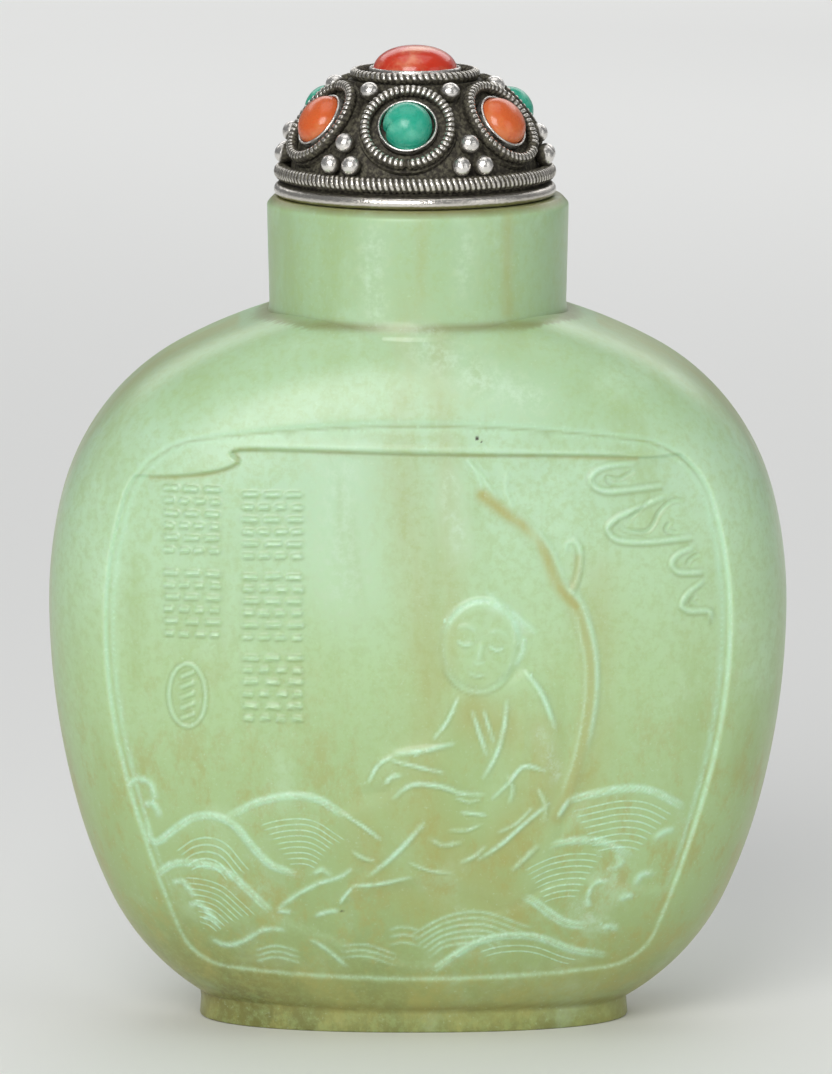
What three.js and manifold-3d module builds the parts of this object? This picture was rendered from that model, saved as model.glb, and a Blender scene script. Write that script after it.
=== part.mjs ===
// A flat-sided jade snuff bottle with a domed silver stopper set with coral and turquoise.
// Millimetres, +Z up. The foot stands on z = 0 and the body's axis is the Z axis.
// The carved front faces -Y.

import * as THREE from "three";
import { mergeVertices } from "three/addons/utils/BufferGeometryUtils.js";
import Module from "manifold-3d";

// ---------------------------------------------------------------- driving dimensions

// Front outlines are ovals of tangent arcs. Each arc is [radius, angle in degrees where it ends],
// measured from the widest level, and a last arc closes the oval on the axis.
const BODY = {
  halfWidth: 26.15,
  level: 30.1,
  up: [[31.9, 12.5], [16.6, 62]],
  down: [[56.6, 15], [39.2, 24.4], [17.6, 65]],
};
const BODY_HALF_DEPTH = 14;
// The power of the oval that the depth follows: blunt at the shoulders, rounder towards the foot.
const SHOULDER_POWER = 4;
const BASE_POWER = 2.2;
const WALL = 3;
// How finely the body is faceted: columns round its outline and rows from front to back.
const BODY_COLUMNS = 40;
const BODY_ROWS = 16;
const CAVITY_COLUMNS = 26;
const CAVITY_ROWS = 10;
// Facets round each of the other pieces and cutting tools.
const FACETS = {
  neck: 40, foot: 44, recess: 28, bore: 28, panel: 52, head: 14,
  cap: 30, seat: 14, baseWire: 36, topWire: 20, sideWire: 15, wireSection: 5, bezel: 12, stone: 12,
  granule: 6,
};
// Facets from top to bottom of the dome, a stone's dome and a granule.
const DOME_ROWS = 6;
const STONE_ROWS = 3;
const GRANULE_ROWS = 4;
// Levels that cutting tools start below or reach up to, so that they pass right through.
const BELOW_ALL = -9;
const ABOVE_ALL = 80;

const FOOT_HALF_WIDTH = 15.3;
const FOOT_HALF_DEPTH = 7.3;
const FOOT_PLAN_POWER = 2.3;
const FOOT_TOP = 1.9;
const FOOT_SHIFT = -0.3;
const FOOT_RECESS = 1.2;
const FOOT_RIM = 2.2;

const NECK_RADIUS = 10.65;
// The neck and its bore are rooted inside the body, under the shoulders.
const NECK_ROOT = 40;
const NECK_WAIST_RADIUS = 10.5;
const NECK_WAIST_LEVEL = 51.5;
const LIP_LEVEL = 58.85;
const LIP_BEVEL = 0.5;
const MOUTH_RADIUS = 4.6;

const PANEL = {
  halfWidth: 21.85,
  level: 30,
  up: [[30, 17], [6.5, 81]],
  down: [[45, 15], [110, 21], [4, 85]],
};
const GROUND_DEPTH = 0.5;
const CLOUD_DEPTH = 0.04;
const WATER_DEPTH = 0.3;
const CREST_DEPTH = 0.14;
const FIGURE_DEPTH = 0.08;

// Every part of the stopper is placed from its own axis, which stands a little left of the neck's.
const STOPPER_SHIFT = -0.2;
const STOPPER_TURN = THREE.MathUtils.degToRad(-4.2);
const REST_GAP = 0.02;
const CAP_BOTTOM = LIP_LEVEL + REST_GAP;
const RIM_RADIUS = 9.5;
const RIM_THICKNESS = 0.92;
const BAND_RADIUS = 9.15;
const BAND_TOP = 59.98;
const DOME_LEVEL = 60.2;
const DOME_RADIUS = 8.8;
const DOME_HEIGHT = 7.4;
const BASE_WIRE_RADIUS = 9.4;
const BASE_WIRE_THICKNESS = 1.15;

const COLLET_COUNT = 6;
const COLLET_TILT = THREE.MathUtils.degToRad(37);
const WIRE_THICKNESS = 0.8;
const BEZEL_WALL = 0.2;
const SIDE_COLLET = { seat: 3.45, wire: 3, bezel: 2.1, bezelHeight: 0.7, stone: 1.72, stoneHeight: 1.7 };
const TURQUOISE_HEIGHT = 2.2;
// How deep below a seat's level its disc is rooted in the dome, and how much is cleared above it.
const SEAT_ROOT = 2;
const SEAT_CLEARANCE = 3;
const SIDE_SEAT_RADIUS = 6.98;
const SIDE_SEAT_LEVEL = 64.16;
const TOP_COLLET = { seat: 4.7, wire: 4.2, bezel: 3.25, bezelHeight: 0.9, stone: 2.94, stoneHeight: 2.4 };
const TOP_SEAT_LEVEL = 67.05;

const GRANULE_RADIUS = 0.62;
// One granule's place: latitude on the dome, and sideways angle from the middle of the gap.
const GRANULE_PLACES = [[53, 0], [22.5, 0], [11.5, -5.4], [11.5, 5.4]];

// ---------------------------------------------------------------- materials

function finish(color, roughness, metalness) {
  return new THREE.MeshStandardMaterial({ color, roughness, metalness });
}

const jade = () => finish(0xb3d09c, 0.25, 0);
const agedSilver = () => finish(0x6f6a62, 0.45, 1);
const brightSilver = () => finish(0xb9b6b0, 0.3, 1);
const turquoise = () => finish(0x40b896, 0.3, 0);
const coral = () => finish(0xd5703a, 0.25, 0);
const redCoral = () => finish(0xca4627, 0.2, 0);

// ---------------------------------------------------------------- solids

const wasm = await Module();
wasm.setup();

function toSolid(geometry) {
  const bare = geometry.clone();
  bare.deleteAttribute("normal");
  bare.deleteAttribute("uv");
  const merged = mergeVertices(bare, 1e-4);
  const mesh = new wasm.Mesh({
    numProp: 3,
    vertProperties: new Float32Array(merged.attributes.position.array),
    triVerts: new Uint32Array(merged.index.array),
  });
  return new wasm.Manifold(mesh);
}

function toGeometry(solid) {
  const mesh = solid.getMesh();
  const geometry = new THREE.BufferGeometry();
  geometry.setAttribute("position", new THREE.BufferAttribute(mesh.vertProperties, 3));
  geometry.setIndex(new THREE.BufferAttribute(mesh.triVerts, 1));
  geometry.computeVertexNormals();
  return geometry;
}

// An upright round piece from a profile of [radius, height] pairs listed from the bottom up.
function turned(profile, segments) {
  const points = profile.map(([radius, height]) => new THREE.Vector2(radius, height));
  return new THREE.LatheGeometry(points, segments).rotateX(Math.PI / 2);
}

// A prism from a front-view shape, reaching from just inside the front half out past the front.
function frontPrism(shape) {
  const geometry = new THREE.ExtrudeGeometry(shape, { depth: 2 * BODY_HALF_DEPTH, bevelEnabled: false });
  return toSolid(geometry.rotateX(Math.PI / 2).translate(0, -1, 0));
}

function smoothShape(places, segments) {
  const curve = new THREE.SplineCurve(places.map(([x, z]) => new THREE.Vector2(x, z)));
  return new THREE.Shape(curve.getPoints(segments));
}

// ---------------------------------------------------------------- ovals of tangent arcs

function quarterArcs(halfWidth, arcs) {
  const list = [];
  let point = new THREE.Vector2(halfWidth, 0);
  let start = 0;
  const addArc = (radius, end) => {
    const spoke = (angle) => new THREE.Vector2(Math.cos(angle), Math.sin(angle)).multiplyScalar(radius);
    const centre = point.clone().sub(spoke(start));
    list.push({ centre, radius, start, end });
    point = centre.clone().add(spoke(end));
    start = end;
  };
  for (const [radius, degrees] of arcs) {
    addArc(radius, THREE.MathUtils.degToRad(degrees));
  }
  addArc(point.x / Math.cos(start), Math.PI / 2);
  return list;
}

// Points evenly spaced round an oval, counter-clockwise from its right side, drawn in by an inset.
function ovalPoints(oval, inset, count) {
  const path = new THREE.Path();
  const drawnIn = (arcs) => arcs.map(([radius, degrees]) => [radius - inset, degrees]);
  const upper = quarterArcs(oval.halfWidth - inset, drawnIn(oval.up));
  const lower = quarterArcs(oval.halfWidth - inset, drawnIn(oval.down));
  for (const { centre, radius, start, end } of upper) {
    path.absarc(centre.x, oval.level + centre.y, radius, start, end);
  }
  for (const { centre, radius, start, end } of upper.toReversed()) {
    path.absarc(-centre.x, oval.level + centre.y, radius, Math.PI - end, Math.PI - start);
  }
  for (const { centre, radius, start, end } of lower) {
    path.absarc(-centre.x, oval.level - centre.y, radius, Math.PI + start, Math.PI + end);
  }
  for (const { centre, radius, start, end } of lower.toReversed()) {
    path.absarc(centre.x, oval.level - centre.y, radius, -end, -start);
  }
  return path.getSpacedPoints(count).slice(0, count);
}

// ---------------------------------------------------------------- bottle

function depthPower(rim) {
  const rise = Math.sin(Math.atan2(rim.y - BODY.level, Math.abs(rim.x)));
  return (SHOULDER_POWER + BASE_POWER) / 2 + (rise * (SHOULDER_POWER - BASE_POWER)) / 2;
}

// The body is a sphere remapped: its equator follows the front outline and its poles are the
// middles of the two broad faces, which the depth's power keeps nearly flat.
function bodySolid(inset, depthInset, around, rings) {
  const geometry = new THREE.SphereGeometry(1, around, rings);
  const outline = ovalPoints(BODY, inset, around);
  const halfDepth = BODY_HALF_DEPTH - depthInset;
  const position = geometry.attributes.position;
  for (let i = 0; i < position.count; i += 1) {
    const column = i % (around + 1);
    const rim = outline[column % around];
    const latitude = Math.round(position.getY(i) * 1e6) / 1e6;
    const power = depthPower(rim);
    const spread = Math.max(0, 1 - latitude * latitude) ** (1 / power);
    const depth = Math.sign(latitude) * Math.abs(latitude) ** (2 / power) * halfDepth;
    position.setXYZ(i, rim.x * spread, -depth, BODY.level + (rim.y - BODY.level) * spread);
  }
  return toSolid(geometry);
}

function footPlan(halfWidth, halfDepth, segments) {
  const points = [];
  for (let i = 0; i < segments; i += 1) {
    const angle = (2 * Math.PI * i) / segments;
    const across = Math.abs(Math.cos(angle)) ** (2 / FOOT_PLAN_POWER) * Math.sign(Math.cos(angle));
    const deep = Math.abs(Math.sin(angle)) ** (2 / FOOT_PLAN_POWER) * Math.sign(Math.sin(angle));
    points.push(new THREE.Vector2(FOOT_SHIFT + halfWidth * across, halfDepth * deep));
  }
  return new THREE.Shape(points);
}

function uprightPrism(shape, bottom, top) {
  const geometry = new THREE.ExtrudeGeometry(shape, { depth: top - bottom, bevelEnabled: false });
  return toSolid(geometry.translate(0, 0, bottom));
}

function slab(bottom, top) {
  const side = 4 * BODY.halfWidth;
  return toSolid(new THREE.BoxGeometry(side, side, top - bottom).translate(0, 0, (top + bottom) / 2));
}

function plainBottle() {
  const neck = toSolid(turned([
    [0, NECK_ROOT],
    [NECK_WAIST_RADIUS, NECK_ROOT],
    [NECK_WAIST_RADIUS, NECK_WAIST_LEVEL],
    [NECK_RADIUS, LIP_LEVEL - LIP_BEVEL],
    [NECK_RADIUS - LIP_BEVEL, LIP_LEVEL],
    [0, LIP_LEVEL],
  ], FACETS.neck));
  const foot = uprightPrism(footPlan(FOOT_HALF_WIDTH, FOOT_HALF_DEPTH, FACETS.foot), 0, FOOT_TOP);
  const recessPlan = footPlan(FOOT_HALF_WIDTH - FOOT_RIM, FOOT_HALF_DEPTH - FOOT_RIM, FACETS.recess);
  const recess = uprightPrism(recessPlan, BELOW_ALL, FOOT_RECESS);
  const body = bodySolid(0, 0, BODY_COLUMNS, BODY_ROWS).intersect(slab(FOOT_RECESS, ABOVE_ALL));
  return body.add(neck).add(foot).subtract(recess);
}

function cavity() {
  const hollow = bodySolid(WALL, WALL, CAVITY_COLUMNS, CAVITY_ROWS);
  const inside = hollow.intersect(slab(FOOT_RECESS + WALL, ABOVE_ALL));
  const profile = [[0, NECK_ROOT], [MOUTH_RADIUS, NECK_ROOT], [MOUTH_RADIUS, ABOVE_ALL], [0, ABOVE_ALL]];
  const bore = toSolid(turned(profile, FACETS.bore));
  return inside.add(bore);
}

// ---------------------------------------------------------------- carved panels

// The cloud bank hangs from the panel's top edge and breaks into curled tongues on the right.
function cloudBank() {
  return smoothShape([
    [-23, 40.8], [-18.3, 40.8], [-12.8, 41.6], [-12, 42.4], [0, 42.4], [12, 42.2], [14.6, 41.8],
    [12.2, 40.8], [13.4, 39.7], [16.8, 39.7], [13.4, 37.8], [13.8, 36.2], [18.8, 36], [17.7, 34.6],
    [19.7, 33.6], [18.3, 31.8], [20.4, 30.6], [23, 30], [23, 46], [0, 47], [-23, 46], [-23, 41.5],
  ], 38);
}

function farWater() {
  return smoothShape([
    [-23, 18.2], [-19.6, 19], [-18.4, 17], [-18.2, 14.8], [-16.6, 16], [-14.5, 16.7], [-12.6, 16.7],
    [-8.8, 18], [-5.6, 17], [-2.3, 14.9], [2, 12], [5.8, 12], [10, 14.8], [11.7, 18], [15.5, 18.6],
    [18.3, 17.2], [20, 18.6], [23, 18], [23, 2], [0, 2], [-23, 2], [-23, 17],
  ], 36);
}

function nearWater() {
  return smoothShape([
    [-23, 12], [-20, 11.4], [-18.3, 12.4], [-15.3, 13.2], [-12, 11.7], [-10, 9.6], [-7, 8], [-3, 6.4],
    [1.6, 6.4], [6, 8], [9, 9.9], [12.1, 11.2], [13.6, 13], [16.4, 12.4], [18, 14.6], [23, 15],
    [23, 2], [0, 2], [-23, 2], [-23, 11],
  ], 32);
}

function figureHead() {
  const head = new THREE.Shape().absellipse(4.3, 28.9, 2.7, 3.2, 0, 2 * Math.PI, false, -0.1);
  return new THREE.Shape(head.getSpacedPoints(FACETS.head).slice(0, FACETS.head));
}

// The seated robe: shoulders, the arm held out to the left, the lap, and the leg drawn to the foot.
function figureRobe() {
  return smoothShape([
    [3, 26], [1.8, 23.6], [0.4, 21.9], [-2.2, 21.1], [-3.7, 19.3], [-2.2, 18.5], [-4.4, 17.5],
    [-5.6, 16.2], [-3.6, 13.2], [-5.4, 10.6], [-0.6, 11.6], [3.6, 11.2], [6.4, 9.6], [8.8, 12],
    [9.8, 15.6], [9.4, 19.6], [9.6, 22.8], [8.2, 26.4], [5.6, 26.4], [3, 26],
  ], 32);
}

// The gnarled branch curves over the figure from the shoulder up to its broken tip.
function branch() {
  const spine = new THREE.SplineCurve([[3.6, 41.6], [4.5, 39.2], [7.4, 37.1], [9.6, 34], [11.3, 30.4],
    [12.1, 27], [11.7, 22.4], [9.7, 16.6]].map(([x, z]) => new THREE.Vector2(x, z)));
  const steps = 12;
  const left = [];
  const right = [];
  for (let i = 0; i <= steps; i += 1) {
    const along = spine.getTangent(i / steps);
    const half = 0.25 + 0.25 * Math.sin((Math.PI * i) / steps);
    const offset = new THREE.Vector2(-along.y, along.x).multiplyScalar(half);
    const middle = spine.getPoint(i / steps);
    left.push(middle.clone().sub(offset));
    right.unshift(middle.clone().add(offset));
  }
  return new THREE.Shape([...left, ...right]);
}

// The panel's outline cut down to its ground, which follows the curve of the face.
function groundCut() {
  const panel = frontPrism(new THREE.Shape(ovalPoints(PANEL, 0, FACETS.panel)));
  return panel.subtract(bodySolid(0, GROUND_DEPTH, BODY_COLUMNS, BODY_ROWS));
}

// A mass standing up from the ground, with its face at a depth of its own below the border.
function raised(shape, depth) {
  return frontPrism(shape).intersect(bodySolid(0, depth, BODY_COLUMNS, BODY_ROWS));
}

function frontMasses() {
  return [
    raised(cloudBank(), CLOUD_DEPTH),
    raised(figureHead(), FIGURE_DEPTH),
    raised(figureRobe(), FIGURE_DEPTH),
    raised(branch(), CREST_DEPTH),
    raised(nearWater(), CREST_DEPTH),
    raised(farWater(), WATER_DEPTH),
  ];
}

// The back panel is plainer: the same sunk ground with only the near water.
function backMasses() {
  return [raised(nearWater(), CREST_DEPTH)];
}

function bottle() {
  let carved = plainBottle();
  for (const [masses, turn] of [[frontMasses(), 0], [backMasses(), 180]]) {
    carved = carved.subtract(groundCut().rotate([0, 0, turn]));
    for (const mass of masses) {
      carved = carved.add(mass.rotate([0, 0, turn]));
    }
  }
  return new THREE.Mesh(toGeometry(carved.subtract(cavity())), jade());
}

// ---------------------------------------------------------------- stopper

// A collet's own frame: its origin on the seat, its +Z out along the seat's normal.
function sideFrame(index) {
  const turn = new THREE.Group();
  turn.rotation.z = (2 * Math.PI * index) / COLLET_COUNT;
  const frame = new THREE.Group();
  frame.position.set(0, -SIDE_SEAT_RADIUS, SIDE_SEAT_LEVEL);
  frame.rotation.x = Math.PI / 2 - COLLET_TILT;
  turn.add(frame);
  turn.updateMatrixWorld(true);
  return { turn, frame };
}

function seatDisc(radius, bottom, top) {
  return turned([[0, bottom], [radius, bottom], [radius, top], [0, top]], FACETS.seat);
}

// The dome with its rolled rim. Flats are cut and backed where the collets sit.
function cap() {
  const profile = [[0, CAP_BOTTOM], [RIM_RADIUS, CAP_BOTTOM]];
  for (const degrees of [-45, 0, 45, 90]) {
    const angle = THREE.MathUtils.degToRad(degrees);
    const across = RIM_RADIUS + (RIM_THICKNESS / 2) * Math.cos(angle);
    profile.push([across, CAP_BOTTOM + (RIM_THICKNESS / 2) * (1 + Math.sin(angle))]);
  }
  profile.push([BAND_RADIUS, CAP_BOTTOM + RIM_THICKNESS]);
  profile.push([BAND_RADIUS, BAND_TOP], [DOME_RADIUS, BAND_TOP]);
  for (let i = 0; i <= DOME_ROWS; i += 1) {
    const latitude = (Math.PI / 2) * (i / DOME_ROWS);
    const across = DOME_RADIUS * Math.cos(latitude) * (i < DOME_ROWS);
    profile.push([across, DOME_LEVEL + DOME_HEIGHT * Math.sin(latitude)]);
  }
  let solid = toSolid(turned(profile, FACETS.cap));
  for (let i = 0; i < COLLET_COUNT; i += 1) {
    const { frame } = sideFrame(i);
    const above = seatDisc(SIDE_COLLET.seat, 0, SEAT_CLEARANCE).applyMatrix4(frame.matrixWorld);
    const below = seatDisc(SIDE_COLLET.seat, -SEAT_ROOT, 0).applyMatrix4(frame.matrixWorld);
    solid = solid.subtract(toSolid(above)).add(toSolid(below));
  }
  solid = solid.subtract(slab(TOP_SEAT_LEVEL, ABOVE_ALL));
  solid = solid.add(toSolid(seatDisc(TOP_COLLET.seat, TOP_SEAT_LEVEL - SEAT_ROOT, TOP_SEAT_LEVEL)));
  return new THREE.Mesh(toGeometry(solid), agedSilver());
}

function wireRing(radius, thickness, segments) {
  const torus = new THREE.TorusGeometry(radius, thickness / 2, FACETS.wireSection, segments);
  const ring = new THREE.Mesh(torus, agedSilver());
  ring.position.z = REST_GAP + thickness / 2;
  return ring;
}

function bezelRing(collet) {
  const outer = collet.bezel;
  const inner = outer - BEZEL_WALL;
  const bottom = REST_GAP;
  const top = collet.bezelHeight;
  const profile = [[inner, bottom], [outer, bottom], [outer, top], [inner, top], [inner, bottom]];
  return new THREE.Mesh(turned(profile, FACETS.bezel), brightSilver());
}

// A cabochon: a short straight girdle inside the bezel, then a domed top.
function cabochon(collet, material) {
  const girdle = collet.bezelHeight;
  const profile = [[0, REST_GAP], [collet.stone, REST_GAP]];
  for (let i = 0; i <= STONE_ROWS; i += 1) {
    const latitude = (Math.PI / 2) * (i / STONE_ROWS);
    const height = girdle + (collet.stoneHeight - girdle) * Math.sin(latitude);
    profile.push([collet.stone * Math.cos(latitude) * (i < STONE_ROWS), height]);
  }
  return new THREE.Mesh(turned(profile, FACETS.stone), material);
}

function addNamed(parent, name, mesh) {
  mesh.name = name;
  parent.add(mesh);
}

function granule(gap, latitude, sideways) {
  const turn = new THREE.Group();
  turn.rotation.z = (2 * Math.PI * (gap - 0.5)) / COLLET_COUNT + THREE.MathUtils.degToRad(sideways);
  const angle = THREE.MathUtils.degToRad(latitude);
  const normal = new THREE.Vector2(Math.cos(angle) / DOME_RADIUS, Math.sin(angle) / DOME_HEIGHT).normalize();
  const out = GRANULE_RADIUS + REST_GAP;
  const sphere = new THREE.SphereGeometry(GRANULE_RADIUS, FACETS.granule, GRANULE_ROWS);
  const ball = new THREE.Mesh(sphere, brightSilver());
  ball.position.y = -(DOME_RADIUS * Math.cos(angle) + normal.x * out);
  ball.position.z = DOME_LEVEL + DOME_HEIGHT * Math.sin(angle) + normal.y * out;
  turn.add(ball);
  return { turn, ball };
}

function stopper() {
  const group = new THREE.Group();
  group.position.x = STOPPER_SHIFT;
  group.rotation.z = STOPPER_TURN;
  addNamed(group, "stopper_cap", cap());

  const baseWire = wireRing(BASE_WIRE_RADIUS, BASE_WIRE_THICKNESS, FACETS.baseWire);
  baseWire.position.z += BAND_TOP;
  addNamed(group, "base_wire", baseWire);

  const top = new THREE.Group();
  top.position.z = TOP_SEAT_LEVEL;
  addNamed(top, "top_wire", wireRing(TOP_COLLET.wire, WIRE_THICKNESS, FACETS.topWire));
  addNamed(top, "top_bezel", bezelRing(TOP_COLLET));
  addNamed(top, "top_coral", cabochon(TOP_COLLET, redCoral()));
  group.add(top);

  for (let i = 0; i < COLLET_COUNT; i += 1) {
    const { turn, frame } = sideFrame(i);
    const isTurquoise = i % 2 === 0;
    const stoneHeight = isTurquoise ? TURQUOISE_HEIGHT : SIDE_COLLET.stoneHeight;
    const stone = cabochon({ ...SIDE_COLLET, stoneHeight }, isTurquoise ? turquoise() : coral());
    addNamed(frame, `side_wire_${i + 1}`, wireRing(SIDE_COLLET.wire, WIRE_THICKNESS, FACETS.sideWire));
    addNamed(frame, `side_bezel_${i + 1}`, bezelRing(SIDE_COLLET));
    addNamed(frame, `side_stone_${i + 1}`, stone);
    group.add(turn);
    GRANULE_PLACES.forEach(([latitude, sideways], place) => {
      const { turn: granuleTurn, ball } = granule(i + 1, latitude, sideways);
      ball.name = `granule_${i + 1}_${place + 1}`;
      group.add(granuleTurn);
    });
  }
  return group;
}

// ---------------------------------------------------------------- the whole object

const snuffBottle = new THREE.Group();
addNamed(snuffBottle, "bottle", bottle());
snuffBottle.add(stopper());

export default snuffBottle;
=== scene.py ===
"""Looks of a carved jade snuff bottle with a silver, coral and turquoise stopper.

The frame is in metres. Shapes are worked out in millimetres and scaled by MM as meshes are made.
The carved front faces -Y, and +Z is up.
"""
import math

import bpy
import numpy as np
from mathutils import Matrix, Vector


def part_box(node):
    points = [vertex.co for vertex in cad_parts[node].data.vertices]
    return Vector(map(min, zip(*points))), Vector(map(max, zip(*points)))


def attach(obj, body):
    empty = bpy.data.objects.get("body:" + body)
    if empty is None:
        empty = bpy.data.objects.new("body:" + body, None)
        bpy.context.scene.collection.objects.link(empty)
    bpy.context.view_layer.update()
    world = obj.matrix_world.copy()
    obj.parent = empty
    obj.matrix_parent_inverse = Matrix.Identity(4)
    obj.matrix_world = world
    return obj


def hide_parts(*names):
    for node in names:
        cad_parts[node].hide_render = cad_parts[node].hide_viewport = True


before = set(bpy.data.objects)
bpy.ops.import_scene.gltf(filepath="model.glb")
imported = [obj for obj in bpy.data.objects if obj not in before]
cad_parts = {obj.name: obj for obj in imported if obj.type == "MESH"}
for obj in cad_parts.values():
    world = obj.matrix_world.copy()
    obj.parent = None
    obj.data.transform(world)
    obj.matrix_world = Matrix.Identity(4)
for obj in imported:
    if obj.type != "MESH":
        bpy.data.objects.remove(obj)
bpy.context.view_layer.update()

MM = 0.001


# ---------------------------------------------------------------- places read from the frame

def box_mm(node):
    low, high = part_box(node)
    return np.array(low) / MM, np.array(high) / MM


def middle_mm(node):
    low, high = box_mm(node)
    return (low + high) / 2


LIP_LEVEL = box_mm("bottle")[1][2]
STOPPER_AXIS = middle_mm("stopper_cap")[:2]
CAP_BOTTOM, TOP_SEAT = (corner[2] for corner in box_mm("stopper_cap"))


# ---------------------------------------------------------------- bottle sizes

# Ovals of tangent arcs: each arc is (radius, angle in degrees where it ends), from the widest level.
BODY = {
    "half_width": 26.15,
    "level": 30.1,
    "up": [(31.9, 12.5), (16.6, 62)],
    "down": [(56.6, 15), (39.2, 24.4), (17.6, 65)],
}
PANEL = {
    "half_width": 21.85,
    "level": 30.0,
    "up": [(30, 17), (6.5, 81)],
    "down": [(45, 15), (110, 21), (4, 85)],
}
HALF_DEPTH = 14.0
SHOULDER_POWER = 4.0
BASE_POWER = 2.2
WALL = 3.0

FOOT_HALF_WIDTH = 15.3
FOOT_HALF_DEPTH = 7.3
FOOT_PLAN_POWER = 2.3
FOOT_TOP = 1.9
FOOT_SHIFT = -0.3
FOOT_RECESS = 1.2
FOOT_RIM = 2.2

NECK_RADIUS = 10.65
NECK_WAIST = 10.5
NECK_ROOT = 44
FILLET_LEVEL = 50
MOUTH_RADIUS = 4.6
BORE_FLOOR = 42
BORE_CEILING = 62
# Dirt gathers where the neck meets the shoulder, and carving starts above the foot.
JOINT_LEVEL = 50.7
CARVED_FROM = 3.5

# Depths below the face, and heights above the sunk ground.
GROUND_DEPTH = 0.5
CLOUD_HEIGHT = 0.42
FIGURE_HEIGHT = 0.26
FAR_WATER_HEIGHT = 0.1
NEAR_WATER_HEIGHT = 0.22
RIPPLE_HEIGHT = 0.025
# Ripples fade over this share of a wave's length, and each is shorter than the one above it.
RIPPLE_FADE = 0.08
RIPPLE_NARROWING = 0.02

# Each face is a square lattice of cells, gathered into larger blocks where little is carved.
LATTICE = 576
RIM_BLOCK = 4
FLAT_BLOCK = 8
# Blocks of one cell and of two cells are used where neighbouring cells differ by more than these.
FINE_STEP = 0.04
MEDIUM_STEP = 0.014
# How much a step in colour counts beside one in depth, and where the rim begins on the way out.
COLOUR_WEIGHT = 0.15
RIM_SHARE = 0.8


# ---------------------------------------------------------------- stopper sizes

COLLETS = range(1, 7)
COLLET_TILT = math.radians(37)
RIM_RADIUS = 9.5
RIM_ROUNDING = 0.46
BAND_RADIUS = 9.12
BAND_TOP = 59.98
DOME_LEVEL = 60.2
DOME_RADIUS = 8.8
DOME_HEIGHT = 7.4
SEAT_RADIUS = 3.45
TOP_SEAT_RADIUS = 4.7
WIRE_THICKNESS = 0.8
SIDE_WIRE_RADIUS = 3.0
TOP_WIRE_RADIUS = 4.2
BASE_WIRE_RADIUS = 9.4
BASE_WIRE_THICKNESS = 1.15
BEZEL_WALL = 0.2
SIDE_BEZEL = {"radius": 2.1, "height": 0.7}
TOP_BEZEL = {"radius": 3.25, "height": 0.9}
# Radius and height of each kind of side stone.
SIDE_STONES = {"coral": (1.86, 1.75), "turquoise": (1.72, 2.2)}
# The front turquoise has lost a small flake: how deep, where round its edge, and how wide.
CHIP_DEPTH = 0.14
CHIP_TURN = 3.4
CHIP_SPREAD = 0.16
GRANULE_RADIUS = 0.7


# ---------------------------------------------------------------- curves

def quarter_arcs(half_width, arcs):
    """Centre, radius, start and end angle of each arc from the side round to the axis."""
    point = np.array([half_width, 0.0])
    start = 0.0
    found = []
    for radius, degrees in [*arcs, (None, 90)]:
        end = math.radians(degrees)
        if radius is None:
            radius = point[0] / math.cos(start)
        centre = point - radius * np.array([math.cos(start), math.sin(start)])
        point = centre + radius * np.array([math.cos(end), math.sin(end)])
        found.append((centre, radius, start, end))
        start = end
    return found


class Oval:
    """A front outline, told by its distance from its centre in every direction."""

    def __init__(self, sizes, inset=0.0):
        self.level = sizes["level"]
        upper = self.half(sizes["half_width"], sizes["up"], inset)
        lower = self.half(sizes["half_width"], sizes["down"], inset)
        side = np.vstack([lower[::-1] * [1, -1], upper[1:]])
        angle = np.arctan2(side[:, 1], side[:, 0])
        order = np.argsort(angle)
        self.angle = angle[order]
        self.distance = np.hypot(side[:, 0], side[:, 1])[order]

    @staticmethod
    def half(half_width, arcs, inset):
        points = []
        drawn_in = [(radius - inset, degrees) for radius, degrees in arcs]
        for centre, radius, start, end in quarter_arcs(half_width - inset, drawn_in):
            turn = np.linspace(start, end, 60)
            points.append(centre + radius * np.column_stack([np.cos(turn), np.sin(turn)]))
        return np.vstack(points)

    def reach(self, x, z):
        rise = np.arctan2(z, np.abs(x))
        return np.interp(rise, self.angle, self.distance)

    def inside(self, x, z):
        """Roughly how far inside the outline a point is, in millimetres."""
        height = z - self.level
        return self.reach(x, height) - np.hypot(x, height)


def smooth_line(points, steps):
    """A Catmull-Rom curve through the points, with this many steps between neighbours."""
    given = np.array(points, float)
    first = 2 * given[0] - given[1]
    last = 2 * given[-1] - given[-2]
    p = np.vstack([first, given, last])
    t = np.linspace(0, 1, steps, endpoint=False)[:, None]
    spans = []
    for a, b, c, d in zip(p, p[1:], p[2:], p[3:]):
        spans.append(0.5 * (2 * b + (c - a) * t + (2 * a - 5 * b + 4 * c - d) * t ** 2
                            + (3 * b - a - 3 * c + d) * t ** 3))
    return np.vstack([*spans, given[-1]])


def smooth_step(value, low, high):
    t = np.clip((value - low) / (high - low), 0, 1)
    return t * t * (3 - 2 * t)


def bell(gap, width):
    """1 where the gap is nothing, falling away smoothly over about the width."""
    return np.exp(-(gap / width) ** 2)


def lift(field, chosen, values):
    """Brings the chosen numbers of a field up to at least these values."""
    field[chosen] = np.maximum(field[chosen], values)


def line_distance(x, z, line):
    """Distance to a polyline, and how far along it the nearest place is, from 0 to 1."""
    best = np.full(x.shape, 1e9)
    place = np.zeros(x.shape)
    lengths = np.hypot(*np.diff(line, axis=0).T)
    total = lengths.sum()
    done = 0.0
    for start, end, length in zip(line, line[1:], lengths):
        step = (end - start) / max(length, 1e-9)
        along = np.clip((x - start[0]) * step[0] + (z - start[1]) * step[1], 0, length)
        gap = np.hypot(x - start[0] - along * step[0], z - start[1] - along * step[1])
        nearer = gap < best
        best = np.where(nearer, gap, best)
        place = np.where(nearer, (done + along) / total, place)
        done += length
    return best, place


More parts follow.
